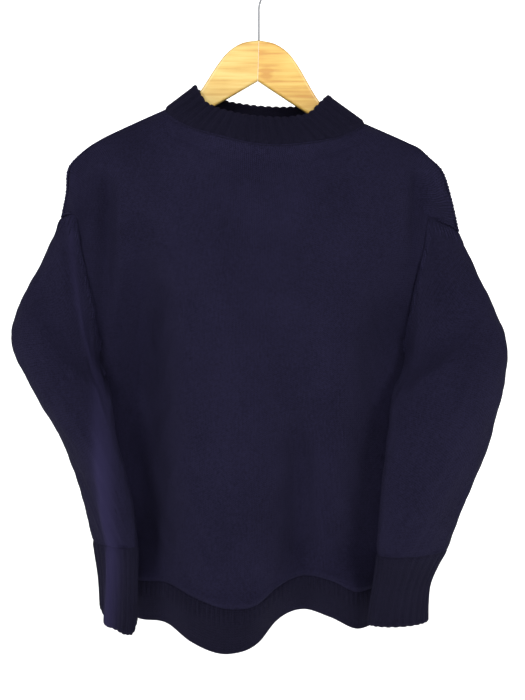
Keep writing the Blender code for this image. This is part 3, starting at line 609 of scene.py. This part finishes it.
# -------------------------------------------------------------- back of the body
# The back is knitted in one with the front and is its twin, but it hangs flatter
# and its neckline sits higher.
BACK_DEPTH = {
    "v":      (0.00, 0.20, 0.45, 0.70, 0.86, 1.00),
    "middle": (0.058, 0.062, 0.064, 0.060, 0.056, 0.052),
    "left":   (0.052, 0.056, 0.056, 0.050, 0.042, 0.036),
    "right":  (0.054, 0.056, 0.056, 0.050, 0.042, 0.036),
    "turn":   (3.0, 3.0, 3.0, 3.0, 3.0, 3.0),
}
BACK_FLUTES = {
    "x":      (-0.190, -0.160, -0.115, -0.065, -0.015, 0.040, 0.085, 0.130, 0.162, 0.190),
    "y_seam": (0.022, 0.050, 0.070, 0.052, 0.040, 0.058, 0.078, 0.060, 0.050, 0.022),
    "z_seam": (-0.768, -0.770, -0.774, -0.770, -0.768, -0.772, -0.776, -0.772, -0.769, -0.768),
    "y_edge": (0.024, 0.052, 0.078, 0.054, 0.038, 0.060, 0.086, 0.062, 0.052, 0.024),
    "z_edge": (-0.816, -0.819, -0.824, -0.819, -0.815, -0.821, -0.827, -0.821, -0.818, -0.816),
}
back = body_sheet("back", BACK_FLUTES, BACK_DEPTH)
back_out = body_normals("back", back)

# --------------------------------------------------------------------- neckband
# The neckband's stitches are picked up round the neck and knitted straight up in
# two-and-two ribs, then cast off loosely, so that the ribs fan over the hanger.
NECK_EDGE = {"left": (-0.079, -0.150), "right": (0.086, -0.1625),
             "front": 0.040, "front_dip": 0.0350, "back": 0.036, "back_dip": 0.0155, "fall": "edge"}
BAND_RIBS = 44
BAND_STEPS = 12            # points round one rib
BAND_ROWS = 26
RIB_DEEP = 0.0026
RIB_GROOVE = 0.28          # share of a rib's height lost in the groove between its two wales
GROOVE_WIDE = 0.07
BAND_TUCK = 0.0008         # the picked-up row sits this much lower
CAST_OFF = 0.0006          # extra thickness of the cast-off edge
SHADED_RIB_DARK = (0.0028, 0.0026, 0.0066, 1.0)       # painted shade: ribbed knitting is painted a darker navy for the shade in its grooves
SHADED_RIB_LIT = (0.0118, 0.0108, 0.0245, 1.0)


def joined_ring(ahead, behind):
    """Front points from left to right, then back points home, as one closed ring."""
    ring = np.concatenate([ahead, behind[1:-1]])
    ring[0] = (ahead[0] + behind[-1]) / 2
    ring[len(ahead) - 1] = (ahead[-1] + behind[0]) / 2
    return ring


def neck_ring(ahead, behind):
    """A body row's points round the neck: over the front, then back behind."""
    first = STEPS_DROP + STEPS_SHOULDER
    last = first + STEPS_NECK + 1
    return joined_ring(ahead[-1, first:last], behind[-1, first:last][::-1])


def armhole_ring(ahead, behind, side):
    """The body's points along an armhole: over the front, then back up behind."""
    column = 0 if side == "left" else -1
    return joined_ring(ahead[STEPS_SIDE:, column][::-1], behind[STEPS_SIDE:, column])


def miter(one, other):
    """The direction half way between two walls' own, longer where they turn sharply."""
    between = unit(one + other)
    lean = np.sum(between * one, axis=-1, keepdims=True)
    return between / np.maximum(lean, MITER_LIMIT)


def share_miter(shared, place):
    """Write a seam's shared directions back into the two panels' own."""
    for end in (0, len(shared) // 2):
        shared[end, 1] = 0.0
        shared[end] = unit(shared[end])
    if place == "neck":
        first = STEPS_DROP + STEPS_SHOULDER
        for step in range(STEPS_NECK + 1):
            front_out[-1, first + step] = shared[step]
            back_out[-1, first + step] = shared[-step]
        return
    column = 0 if place == "left" else -1
    for step in range(STEPS_ARMHOLE + 1):
        front_out[-1 - step, column] = shared[step]
        back_out[-1 - step, column] = shared[-step]


def around(ring, count):
    """Count even places round a closed ring, by its own numbering."""
    places = np.arange(count) * len(ring) / count
    low = places.astype(int)
    part = (places - low)[:, None]
    return ring[low] * (1 - part) + ring[(low + 1) % len(ring)] * part


def ribs(phase):
    """Height of a two-and-two rib: two knit wales stand up, two purl wales sink."""
    wave = 0.5 + 0.5 * np.cos(2 * np.pi * phase)
    groove = np.exp(-((np.mod(phase + 0.5, 1.0) - 0.5) / GROOVE_WIDE) ** 2)
    return wave ** 0.8 - RIB_GROOVE * groove


half_round = np.arange(STEPS_NECK + 1) / STEPS_NECK
neck_edge = joined_ring(neck_line(NECK_EDGE, half_round, "front"),
                        neck_line(NECK_EDGE, half_round[::-1], "back"))
neck_seam = neck_ring(front, back)
coarse = np.array([neck_seam + (neck_edge - neck_seam) * share for share in (0.0, 0.5, 1.0)])
band_out = grid_normals(coarse, closed=True)
neck_shared = miter(neck_ring(front_out, back_out), band_out[0])
share_miter(neck_shared, "neck")

BAND_COUNT = BAND_RIBS * BAND_STEPS
band_share = np.linspace(0.0, 1.0, BAND_ROWS)[:, None, None]
band_seam, band_edge = around(neck_seam, BAND_COUNT), around(neck_edge, BAND_COUNT)
band = band_seam + (band_edge - band_seam) * band_share
band_toward = around(neck_shared, BAND_COUNT) * (1 - band_share)
band_toward = band_toward + around(band_out[1], BAND_COUNT) * band_share
band_toward[1:] = unit(band_toward[1:])
rib_height = RIB_DEEP * ribs(np.arange(BAND_COUNT) / BAND_STEPS)[None, :, None]
rib_height = rib_height * ease(-0.02, 0.10, band_share)
rib_height = rib_height - BAND_TUCK * (1 - ease(0.0, 0.14, band_share))
rib_height = rib_height + CAST_OFF * ease(0.90, 0.97, band_share)
# The neckband and cuffs are painted in the darker rib navy, as painted shade.
ribbed_wool = worsted("ribbed_navy_worsted_painted_shade", SHADED_RIB_DARK, SHADED_RIB_LIT, vee=1.0)
neckband = knit_wall("knitted_neckband", band + rib_height * band_toward,
                     band - FABRIC * band_toward, ribbed_wool, closed=True)
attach(neckband, "root")
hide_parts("neckband")

# ---------------------------------------------------------------------- sleeves
# The sleeves are picked up round the armholes and knitted down to the cuffs, each
# a plain tapering tube.  Just below the seam a band of deeper stitches eases them
# in.  They hang forward of the body, bent a little as they dried.
SLEEVE_RIGHT = {
    "x_out": (0.269, 0.2935, 0.3065, 0.306, 0.2945, 0.278, 0.2535, 0.234),
    "y_out": (-0.010, -0.018, -0.024, -0.028, -0.032, -0.038, -0.046, -0.054),
    "z_out": (-0.372, -0.424, -0.462, -0.505, -0.555, -0.610, -0.665, -0.718),
    "x_in":  (0.184, 0.166, 0.160, 0.156, 0.152, 0.149, 0.146, 0.146),
    "y_in":  (-0.014, -0.050, -0.066, -0.074, -0.078, -0.082, -0.084, -0.084),
    "z_in":  (-0.490, -0.530, -0.565, -0.600, -0.630, -0.660, -0.692, -0.720),
    "half":  (0.034, 0.038, 0.039, 0.039, 0.037, 0.034, 0.030, 0.025),
}
SLEEVE_LEFT = {
    "x_out": (-0.268, -0.295, -0.308, -0.291, -0.256, -0.231, -0.216, -0.204),
    "y_out": (-0.008, -0.010, -0.010, -0.010, -0.010, -0.012, -0.018, -0.026),
    "z_out": (-0.358, -0.412, -0.455, -0.500, -0.555, -0.610, -0.662, -0.712),
    "x_in":  (-0.202, -0.186, -0.180, -0.174, -0.168, -0.162, -0.157, -0.154),
    "y_in":  (-0.014, -0.050, -0.066, -0.074, -0.078, -0.080, -0.080, -0.078),
    "z_in":  (-0.490, -0.530, -0.560, -0.594, -0.624, -0.654, -0.686, -0.712),
    "half":  (0.034, 0.038, 0.038, 0.036, 0.032, 0.028, 0.025, 0.022),
}
STEPS_SLEEVE = 150
SLEEVE_GIRTH = 0.36
SLEEVE_TUCK = 0.0014       # the picked-up row sits this much lower
# Long soft hollows: their place round the sleeve, from 0 at its outer edge over the
# front to 0.5 at its inner edge, how far down they run, and how deep and wide.
SLEEVE_FOLDS = {
    "side":   ("left", "left", "left", "right", "right", "right"),
    "around": (0.20, 0.62, 0.80, 0.14, 0.66, 0.84),
    "from":   (0.62, 0.30, 0.50, 0.72, 0.25, 0.50),
    "to":     (0.95, 0.80, 0.90, 1.00, 0.70, 0.85),
    "lean":   (0.04, 0.05, -0.05, 0.03, -0.06, 0.04),
    "deep":   (0.0016, 0.0030, 0.0025, 0.0034, 0.0030, 0.0022),
    "wide":   (0.050, 0.045, 0.040, 0.055, 0.040, 0.045),
}
# The left sleeve dried with a sharp fold near its inner edge, read down the sleeve.
LEFT_FOLD = {
    "row":   (-0.6, 0.0, 1.0, 2.0, 3.0, 4.0, 5.0, 6.0, 7.0),
    "place": (0.12, 0.39, 0.43, 0.425, 0.41, 0.38, 0.35, 0.325, 0.315),
}
FOLD_HIGH = 0.0030


def section_rings(table, count):
    """A tube's own sections: flattened rings, outer point first, then over the front."""
    rings = []
    turns = np.arange(count)[:, None] * 2 * np.pi / count
    for x1, y1, z1, x0, y0, z0, half in zip(*table.values()):
        middle = np.array([x1 + x0, y1 + y0, z1 + z0]) / 2
        reach = np.array([x1, y1, z1]) - middle
        ahead = np.array([reach[1], -reach[0], 0.0])
        ahead = ahead * half / np.linalg.norm(ahead) * (-1 if ahead[1] > 0 else 1)
        rings.append(middle + reach * np.cos(turns) + ahead * np.sin(turns))
    return np.array(rings)


def sleeve_folds(which, rows, columns):
    """Depth of the long soft hollows at each place of a sleeve."""
    down, round_it = np.linspace(0, 1, rows)[:, None], (np.arange(columns) / columns)[None, :]
    total = np.zeros((rows, columns))
    for side, where, start, end, lean, deep, wide in zip(*SLEEVE_FOLDS.values()):
        if side == which:
            away = np.mod(round_it - where - lean * down + 0.5, 1.0) - 0.5
            along = ease(start - 0.15, start + 0.15, down) * (1 - ease(end - 0.15, end + 0.1, down))
            total = total + deep * np.exp(-(away / wide) ** 2) * along
    return total


def sharp_fold(fold_at, columns):
    """Height of the sharp fold, and how much painted highlight its edge and inner face get."""
    past = (np.arange(columns) / columns)[None, :] - fold_at[:, None]
    height = FOLD_HIGH * (np.exp(-(past / 0.022) ** 2) - 0.7 * np.exp(-((past - 0.085) / 0.045) ** 2))
    painted_highlight = np.where(past < 0, np.exp(-(past / 0.030) ** 2), np.exp(-(past / 0.075) ** 2))
    return height, painted_highlight


sleeve_ends, sleeve_heads = {}, {}
sleeve_share = np.linspace(0, 1, STEPS_SLEEVE)
for side, sections, flip in (("left", SLEEVE_LEFT, True), ("right", SLEEVE_RIGHT, False)):
    seam = armhole_ring(front, back, side)
    own = section_rings(sections, len(seam))
    keys = np.concatenate([[-0.6], np.arange(len(own))])
    places = keys[0] + sleeve_share * (keys[-1] - keys[0])
    tube = smooth(keys, np.concatenate([[seam], own]), places)
    out = grid_normals(tube, True) * (-1 if side == "left" else 1)
    shared = miter(armhole_ring(front_out, back_out, side), out[0])
    share_miter(shared, side)
    out[0] = shared
    runs = np.linalg.norm(np.diff(tube, axis=0), axis=2)
    down = np.cumsum(np.concatenate([np.zeros((1, len(seam))), runs]), axis=0)
    girth = np.arange(len(seam)) / len(seam) * SLEEVE_GIRTH
    relief = slack(girth[None, :], down + (0.05 if side == "left" else 0.0))
    relief = relief - sleeve_folds(side, *tube.shape[:2])
    painted_highlight = np.zeros(tube.shape[:2])
    if side == "left":
        # The sharp fold's edge and inner face get a painted highlight, stronger lower down.
        fold_high, painted_highlight = sharp_fold(smooth(LEFT_FOLD["row"], LEFT_FOLD["place"], places), len(seam))
        starts = ease(0.0, 0.05, sleeve_share)[:, None]
        lower = ease(0.25, 0.65, sleeve_share)[:, None]
        relief = relief + fold_high * starts * (0.4 + 0.6 * lower)
        painted_highlight = painted_highlight * (0.45 + 0.55 * lower)
    relief = relief * ease(0.0, 0.008, down) - SLEEVE_TUCK * (1 - ease(0.0, 0.005, down))
    relief[-1] = 0.0
    outside = tube + relief[..., None] * out
    inside = tube - FABRIC * out
    sleeve = knit_wall("knitted_sleeve_" + side, outside, inside, plain_wool, True, flip, painted_highlight)
    sleeve_heads[side] = (outside, out, down)
    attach(sleeve, "root")
    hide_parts(f"sleeve_{side}_upper", f"sleeve_{side}_lower")
    sleeve_ends[side] = (tube[-1], out[-1])

# --------------------------------------------------------- body panels, finished
# With the neck and armhole stitches picked up, the two panels share their edges
# with the band and the sleeves, and each becomes one wall of knitting.
NECK_SINK = 0.0075         # the body sinks this far just below the firmer band
NECK_SINK_WIDE = 0.015
TUCK_OUT = 0.0028          # and bellies out this far just above the firmer welt
TUCK_WIDE = 0.007
for face, sheet, out, flip in (("front", front, front_out, False), ("back", back, back_out, True)):
    across, up = lengths(sheet, 1), lengths(sheet, 0)
    relief = slack(across[None, :], up[:, None] + (0.0 if face == "front" else 0.07))
    relief = relief * ease(0.0, 0.03, UP)[:, None] * (1 - ease(0.97, 1.0, UP))[:, None]
    relief = relief * (1 - np.abs(ACROSS) ** 20)
    relief = relief + cap_ridges(sheet, ACROSS, UP)
    below_neck = (up[-1] - up)[:, None] / NECK_SINK_WIDE
    in_neck = (1 - ease(U_NECK - 0.06, U_NECK + 0.01, np.abs(ACROSS)))[None, :]
    relief = relief - NECK_SINK * in_neck * 2.3 * below_neck * np.exp(-below_neck ** 2)
    above_welt = up[:, None] / TUCK_WIDE
    relief = relief + TUCK_OUT * 2.3 * above_welt * np.exp(-above_welt ** 2)
    outside, inside = sheet + relief[..., None] * out, sheet - FABRIC * out
    panel = knit_wall("knitted_" + face, outside, inside, plain_wool, False, flip)
    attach(panel, "root")
    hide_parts("body_" + face)

# -------------------------------------------------------------------- hem welts
# Two welts, front and back, start the garment: garter-firm knitting with a band of
# short ribs where the body's stitches join, and an open notch at each side.
WELT_RIB = 0.0076
WELT_STEPS = 10            # points along one rib
WELT_ROWS = 22
WELT_RIBBED = 0.30         # share of the welt's height that is ribbed
WELT_DEEP = 0.0009
WELT_TUCK = 0.0020         # its joining row sits this much lower
WELT_EDGE = 0.0004         # extra thickness of the cast-on edge
# Painted shade: the welt takes the same darker rib navy.
welt_wool = worsted("welt_navy_worsted_painted_shade", SHADED_RIB_DARK, SHADED_RIB_LIT, vee=0.6)
for face, flutes, out, flip in (("front", FRONT_FLUTES, front_out, False),
                                ("back", BACK_FLUTES, back_out, True)):
    coarse = hem_line(np.linspace(-1, 1, 400), flutes, "seam")
    ribs_along = round(np.sum(np.linalg.norm(np.diff(coarse, axis=0), axis=1)) / WELT_RIB)
    u = np.linspace(-1, 1, ribs_along * WELT_STEPS + 1)
    share = np.linspace(0.0, 1.0, WELT_ROWS)[:, None, None]
    seam, edge = hem_line(u, flutes, "seam"), hem_line(u, flutes, "edge")
    welt = edge + (seam - edge) * share
    toward = unit(np.stack([np.interp(u, ACROSS, out[0, :, axis]) for axis in range(3)], axis=-1))
    from_seam = 1 - share
    ribbed = ease(0.0, 0.05, from_seam) * (1 - ease(WELT_RIBBED, WELT_RIBBED + 0.14, from_seam))
    height = WELT_DEEP * ribbed * np.cos(2 * np.pi * np.arange(len(u)) / WELT_STEPS)[None, :, None]
    height = height - WELT_TUCK * (1 - ease(0.0, 0.12, from_seam)) + WELT_EDGE * ease(0.93, 0.98, from_seam)
    outside, inside = welt + height * toward, welt - FABRIC * toward
    piece = knit_wall("knitted_welt_" + face, outside, inside, welt_wool, False, flip)
    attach(piece, "root")
    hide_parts("welt_" + face)

# ------------------------------------------------------------------------ cuffs
# The cuffs end the sleeves in close two-and-two ribs that draw in to the wrist,
# cast off with one plain row.
CUFF_RIGHT = {
    "x_out": (0.233, 0.221, 0.212, 0.210, 0.210),
    "y_out": (-0.054, -0.056, -0.058, -0.058, -0.058),
    "z_out": (-0.720, -0.741, -0.763, -0.786, -0.809),
    "x_in":  (0.146, 0.144, 0.141, 0.138, 0.135),
    "y_in":  (-0.084, -0.084, -0.082, -0.080, -0.080),
    "z_in":  (-0.720, -0.741, -0.763, -0.786, -0.808),
    "half":  (0.024, 0.022, 0.021, 0.020, 0.020),
}
CUFF_LEFT = {
    "x_out": (-0.205, -0.202, -0.199, -0.197, -0.196),
    "y_out": (-0.026, -0.024, -0.022, -0.022, -0.022),
    "z_out": (-0.713, -0.736, -0.758, -0.780, -0.800),
    "x_in":  (-0.154, -0.154, -0.155, -0.156, -0.157),
    "y_in":  (-0.078, -0.080, -0.080, -0.080, -0.080),
    "z_in":  (-0.713, -0.740, -0.766, -0.791, -0.815),
    "half":  (0.021, 0.019, 0.018, 0.018, 0.018),
}
CUFF_RIBS = 24
CUFF_STEPS = 12
CUFF_ROWS = 30
CUFF_DEEP = 0.0015
CUFF_TUCK = 0.0012         # the first ribbed row sits this much lower
# Painted highlight on the left cuff's fold, as a share of the sleeve fold's.
CUFF_HIGHLIGHT = 0.8
CUFF_DROOP = 0.010         # the left cuff's folded face hangs lower than the rest
for side, sections, flip in (("left", CUFF_LEFT, True), ("right", CUFF_RIGHT, False)):
    count = CUFF_RIBS * CUFF_STEPS
    own = section_rings(sections, count)
    end_ring, end_out = (around(ring, count) for ring in sleeve_ends[side])
    own[0] = end_ring
    tube = smooth(np.arange(len(own)), own, np.linspace(0, len(own) - 1, CUFF_ROWS))
    out = grid_normals(tube, True) * (-1 if side == "left" else 1)
    out[0] = end_out
    down = np.linspace(0, 1, CUFF_ROWS)[:, None]
    height = CUFF_DEEP * ribs(np.arange(count) / CUFF_STEPS)[None, :] * ease(-0.01, 0.06, down)
    height = height - CUFF_TUCK * (1 - ease(0.0, 0.05, down))
    painted_highlight = np.zeros(tube.shape[:2])
    if side == "left":
        # The left cuff carries on the sleeve's fold and its painted highlight.
        fold_high, painted_highlight = sharp_fold(0.315 - 0.05 * down[:, 0], count)
        height = height + fold_high
        round_it = np.arange(count) / count
        inner_face = ease(0.20, 0.28, round_it) * (1 - ease(0.50, 0.60, round_it))
        tube[..., 2] -= CUFF_DROOP * down ** 3 * (inner_face - 0.35)
    outside, inside = tube + height[..., None] * out, tube - FABRIC * out
    cuff = knit_wall("knitted_cuff_" + side, outside, inside, ribbed_wool, True, flip, CUFF_HIGHLIGHT * painted_highlight)
    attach(cuff, "root")
    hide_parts("cuff_" + side)

# ------------------------------------------------------------------- seam cords
# Each shoulder is closed by casting its two edges off together, which leaves a
# knobbly cord of stitches on the outside from the neck to the sleeve.
CORD_STITCH = 0.0040
CORD_THICK = 0.0017
CORD_ROUND = 10
CORD_STEPS = 8             # rings for each stitch
CORD_SWAY = 0.0005
CORD_LEAN = (0.0, -0.55, 0.0)         # the shoulder cords roll over to the front
CORD_LIES = (0.0, -0.0035, -0.0030)   # and lie this far down it
cord_wool = worsted("cord_navy_worsted", NAVY_DARK, NAVY_LIT, vee=0.5, lift=0.0006)


def seam_cord(name, path, away):
    """A chain of plump stitches along a path, standing a little off it."""
    gaps = np.linalg.norm(np.diff(path, axis=0), axis=1)
    run = np.concatenate([[0.0], np.cumsum(gaps)])
    count = max(2, round(run[-1] / CORD_STITCH))
    at = np.linspace(0.0, run[-1], count * CORD_STEPS + 1)
    line = np.stack([np.interp(at, run, path[:, axis]) for axis in range(3)], axis=-1)
    lift = unit(np.stack([np.interp(at, run, away[:, axis]) for axis in range(3)], axis=-1))
    ahead = unit(np.gradient(line, axis=0))
    side = unit(np.cross(ahead, lift))
    phase = np.arange(len(at)) / CORD_STEPS
    plump = CORD_THICK * (0.62 + 0.38 * np.abs(np.sin(np.pi * phase)))[:, None, None]
    sway = CORD_SWAY * np.sin(np.pi * phase)[:, None, None] * side[:, None]
    turns = (np.arange(CORD_ROUND) * 2 * np.pi / CORD_ROUND)[None, :, None]
    round_it = np.cos(turns) * side[:, None] + np.sin(turns) * lift[:, None]
    rings = line[:, None] + plump * round_it + sway
    faces = []
    for row in range(len(at) - 1):
        for column in range(CORD_ROUND):
            after = (column + 1) % CORD_ROUND
            faces.append([row * CORD_ROUND + column, row * CORD_ROUND + after,
                          (row + 1) * CORD_ROUND + after, (row + 1) * CORD_ROUND + column])
    faces.append(list(range(CORD_ROUND))[::-1])
    faces.append([(len(at) - 1) * CORD_ROUND + column for column in range(CORD_ROUND)])
    corners = np.array([index for face in faces for index in face])
    places = np.stack([corners % CORD_ROUND / 5.0, corners // CORD_ROUND / CORD_STEPS], axis=-1)
    cord = new_piece(name, rings.reshape(-1, 3).tolist(), faces, places, cord_wool)
    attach(cord, "root")


over_neck = STEPS_DROP + STEPS_SHOULDER
for side, span in (("left", slice(over_neck, None, -1)), ("right", slice(-over_neck - 1, None))):
    path = front[-1, span]
    away = unit(front_out[-1, span] + np.array(CORD_LEAN))
    seam_cord("shoulder_cord_" + side, path + 0.0004 * away + np.array(CORD_LIES), away)

# The same cord shows where the sleeve's stitches were picked up, from the shoulder's
# end to the crease, with a row of long firm stitches just below it.
HEAD_SEEN = {"left": (0, 22), "right": (0, 26)}       # seam points that the cord follows
HEAD_RIB = 0.0052          # pitch of the long stitches
HEAD_START = 0.0025        # how far below the seam they start
HEAD_LONG = 0.026
HEAD_DEEP = 0.0012
HEAD_STEPS = 9
HEAD_ROUND = 8
for side, (first, last) in HEAD_SEEN.items():
    outside, out, down = sleeve_heads[side]
    seam = armhole_ring(front, back, side)[first:last]
    seam_cord("sleeve_cord_" + side, seam + 0.0006 * out[0, first:last], out[0, first:last])


def head_stitches(name, outside, out, down):
    """Long firm stitches below a sleeve seam, each a low ridge sunk in the knitting."""
    seam = outside[0]
    gaps = np.linalg.norm(np.roll(seam, -1, axis=0) - seam, axis=1)
    count = round(gaps.sum() / HEAD_RIB)
    run = np.concatenate([[0.0], np.cumsum(gaps)])
    points, faces = [], []
    for number in range(count):
        at = np.searchsorted(run, number * run[-1] / count, side="right") - 1
        part = (number * run[-1] / count - run[at]) / gaps[at]
        after = (at + 1) % len(seam)
        line = outside[:, at] * (1 - part) + outside[:, after] * part
        lift = unit(out[:, at] * (1 - part) + out[:, after] * part)
        along = down[:, at]
        places = np.linspace(HEAD_START, HEAD_LONG * (0.8 + 0.2 * math.sin(2.4 * number)), HEAD_STEPS)
        middle = np.stack([np.interp(places, along, line[:, axis]) for axis in range(3)], axis=-1)
        up = unit(np.stack([np.interp(places, along, lift[:, axis]) for axis in range(3)], axis=-1))
        aside = unit(np.cross(np.gradient(middle, axis=0), up))
        taper = np.sqrt(np.maximum(1 - np.linspace(-1, 1, HEAD_STEPS) ** 2, 0.02))[:, None]
        first = len(points)
        for turn in np.linspace(0, 2 * np.pi, HEAD_ROUND, endpoint=False):
            reach = 0.30 * HEAD_RIB * math.cos(turn) * aside + HEAD_DEEP * math.sin(turn) * up
            points.extend((middle + taper * reach).tolist())
        for column in range(HEAD_ROUND):
            one = first + column * HEAD_STEPS
            two = first + (column + 1) % HEAD_ROUND * HEAD_STEPS
            for row in range(HEAD_STEPS - 1):
                faces.append([one + row, one + row + 1, two + row + 1, two + row])
        ends = [first + column * HEAD_STEPS for column in range(HEAD_ROUND)]
        faces.append(ends)
        faces.append([end + HEAD_STEPS - 1 for end in reversed(ends)])
    corners = np.array([index for face in faces for index in face])
    places = np.stack([corners // HEAD_STEPS / HEAD_ROUND, corners % HEAD_STEPS], axis=-1)
    stitches = new_piece(name, points, faces, places, cord_wool)
    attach(stitches, "root")


for side in ("left", "right"):
    head_stitches("head_stitches_" + side, *sleeve_heads[side])

# ------------------------------------------------------------------- the studio
# A pale paper floor that sweeps up into a bright backdrop, a soft lamp to each side
# of the front and one high between them, in a dim pale room.
FLOOR_DROP = 0.30          # the sweater hangs this far above the floor
SWEEP_BACK = 3.4
SWEEP_WIDE = 9.0
SWEEP_TALL = 4.5
SWEEP_ROUND = 1.2
SWEEP_FRONT = -5.0
PAPER_DARK = (0.93, 0.93, 0.93, 1.0)
PAPER_LIT = (0.96, 0.96, 0.96, 1.0)
WHITE = (1.0, 1.0, 1.0, 1.0)
floor_z = cad_box[0][2] - FLOOR_DROP
profile = [(SWEEP_FRONT, floor_z)]
for turn in np.linspace(0, math.pi / 2, 24):
    y = SWEEP_BACK - SWEEP_ROUND + SWEEP_ROUND * math.sin(turn)
    profile.append((y, floor_z + SWEEP_ROUND * (1 - math.cos(turn))))
profile.append((SWEEP_BACK, floor_z + SWEEP_TALL))
points = [(x, y, z) for y, z in profile for x in (-SWEEP_WIDE / 2, SWEEP_WIDE / 2)]
faces = [(2 * i, 2 * i + 1, 2 * i + 3, 2 * i + 2) for i in range(len(profile) - 1)]
sweep_mesh = bpy.data.meshes.new("studio_sweep")
sweep_mesh.from_pydata(points, [], faces)
sweep_mesh.shade_smooth()
paper, tree, shader = shader_of("pale_backdrop_paper")
paint(tree, shader, noise_node(tree, place_on(tree), 3.0), [(0.3, PAPER_DARK), (0.7, PAPER_LIT)])
shader.inputs["Roughness"].default_value = 1.0
shader.inputs["Specular IOR Level"].default_value = 0.0
shader.inputs["Emission Color"].default_value = WHITE
shader.inputs["Emission Strength"].default_value = 0.80
sweep_mesh.materials.append(paper)
sweep = bpy.data.objects.new("studio_sweep", sweep_mesh)
bpy.context.scene.collection.objects.link(sweep)

LAMPS_AIM = (0.0, 0.0, -0.45)
LIGHTS = {
    "name":  ("key_left", "key_right", "front_fill"),
    "place": ((-1.15, -2.25, 0.60), (1.15, -2.25, 0.60), (0.0, -2.5, 0.9)),
    "size":  (0.8, 0.8, 0.8),
    "watts": (34.0, 30.0, 16.0),
}
for name, place, size, watts in zip(*LIGHTS.values()):
    lamp = bpy.data.lights.new(name, "AREA")
    lamp.shape = "DISK"
    lamp.size = size
    lamp.energy = watts
    light = bpy.data.objects.new(name, lamp)
    light.location = place
    light.rotation_euler = (Vector(LAMPS_AIM) - Vector(place)).to_track_quat("-Z", "Y").to_euler()
    bpy.context.scene.collection.objects.link(light)
room = bpy.data.worlds.new("pale_room")
room.use_nodes = True
room.node_tree.nodes["Background"].inputs["Color"].default_value = WHITE
room.node_tree.nodes["Background"].inputs["Strength"].default_value = 0.10
bpy.context.scene.world = room
bpy.context.scene.view_settings.view_transform = "Standard"

# The camera stands a metre and a half in front, a little above the chest.
CAMERA_AWAY = 1.5
CAMERA_Z = -0.32
LOOK_Z = -0.478
LOOK_X = 0.0045
LENS = 61.08               # millimetres, on a 36 mm frame
camera = bpy.data.objects.new("camera", bpy.data.cameras.new("camera"))
bpy.context.scene.collection.objects.link(camera)
target, eye = Vector((LOOK_X, 0.0, LOOK_Z)), Vector((LOOK_X, -CAMERA_AWAY, CAMERA_Z))
camera.location = eye
camera.rotation_euler = (target - eye).to_track_quat("-Z", "Y").to_euler()
camera.data.sensor_width = 36.0
camera.data.lens = LENS
bpy.context.scene.camera = camera
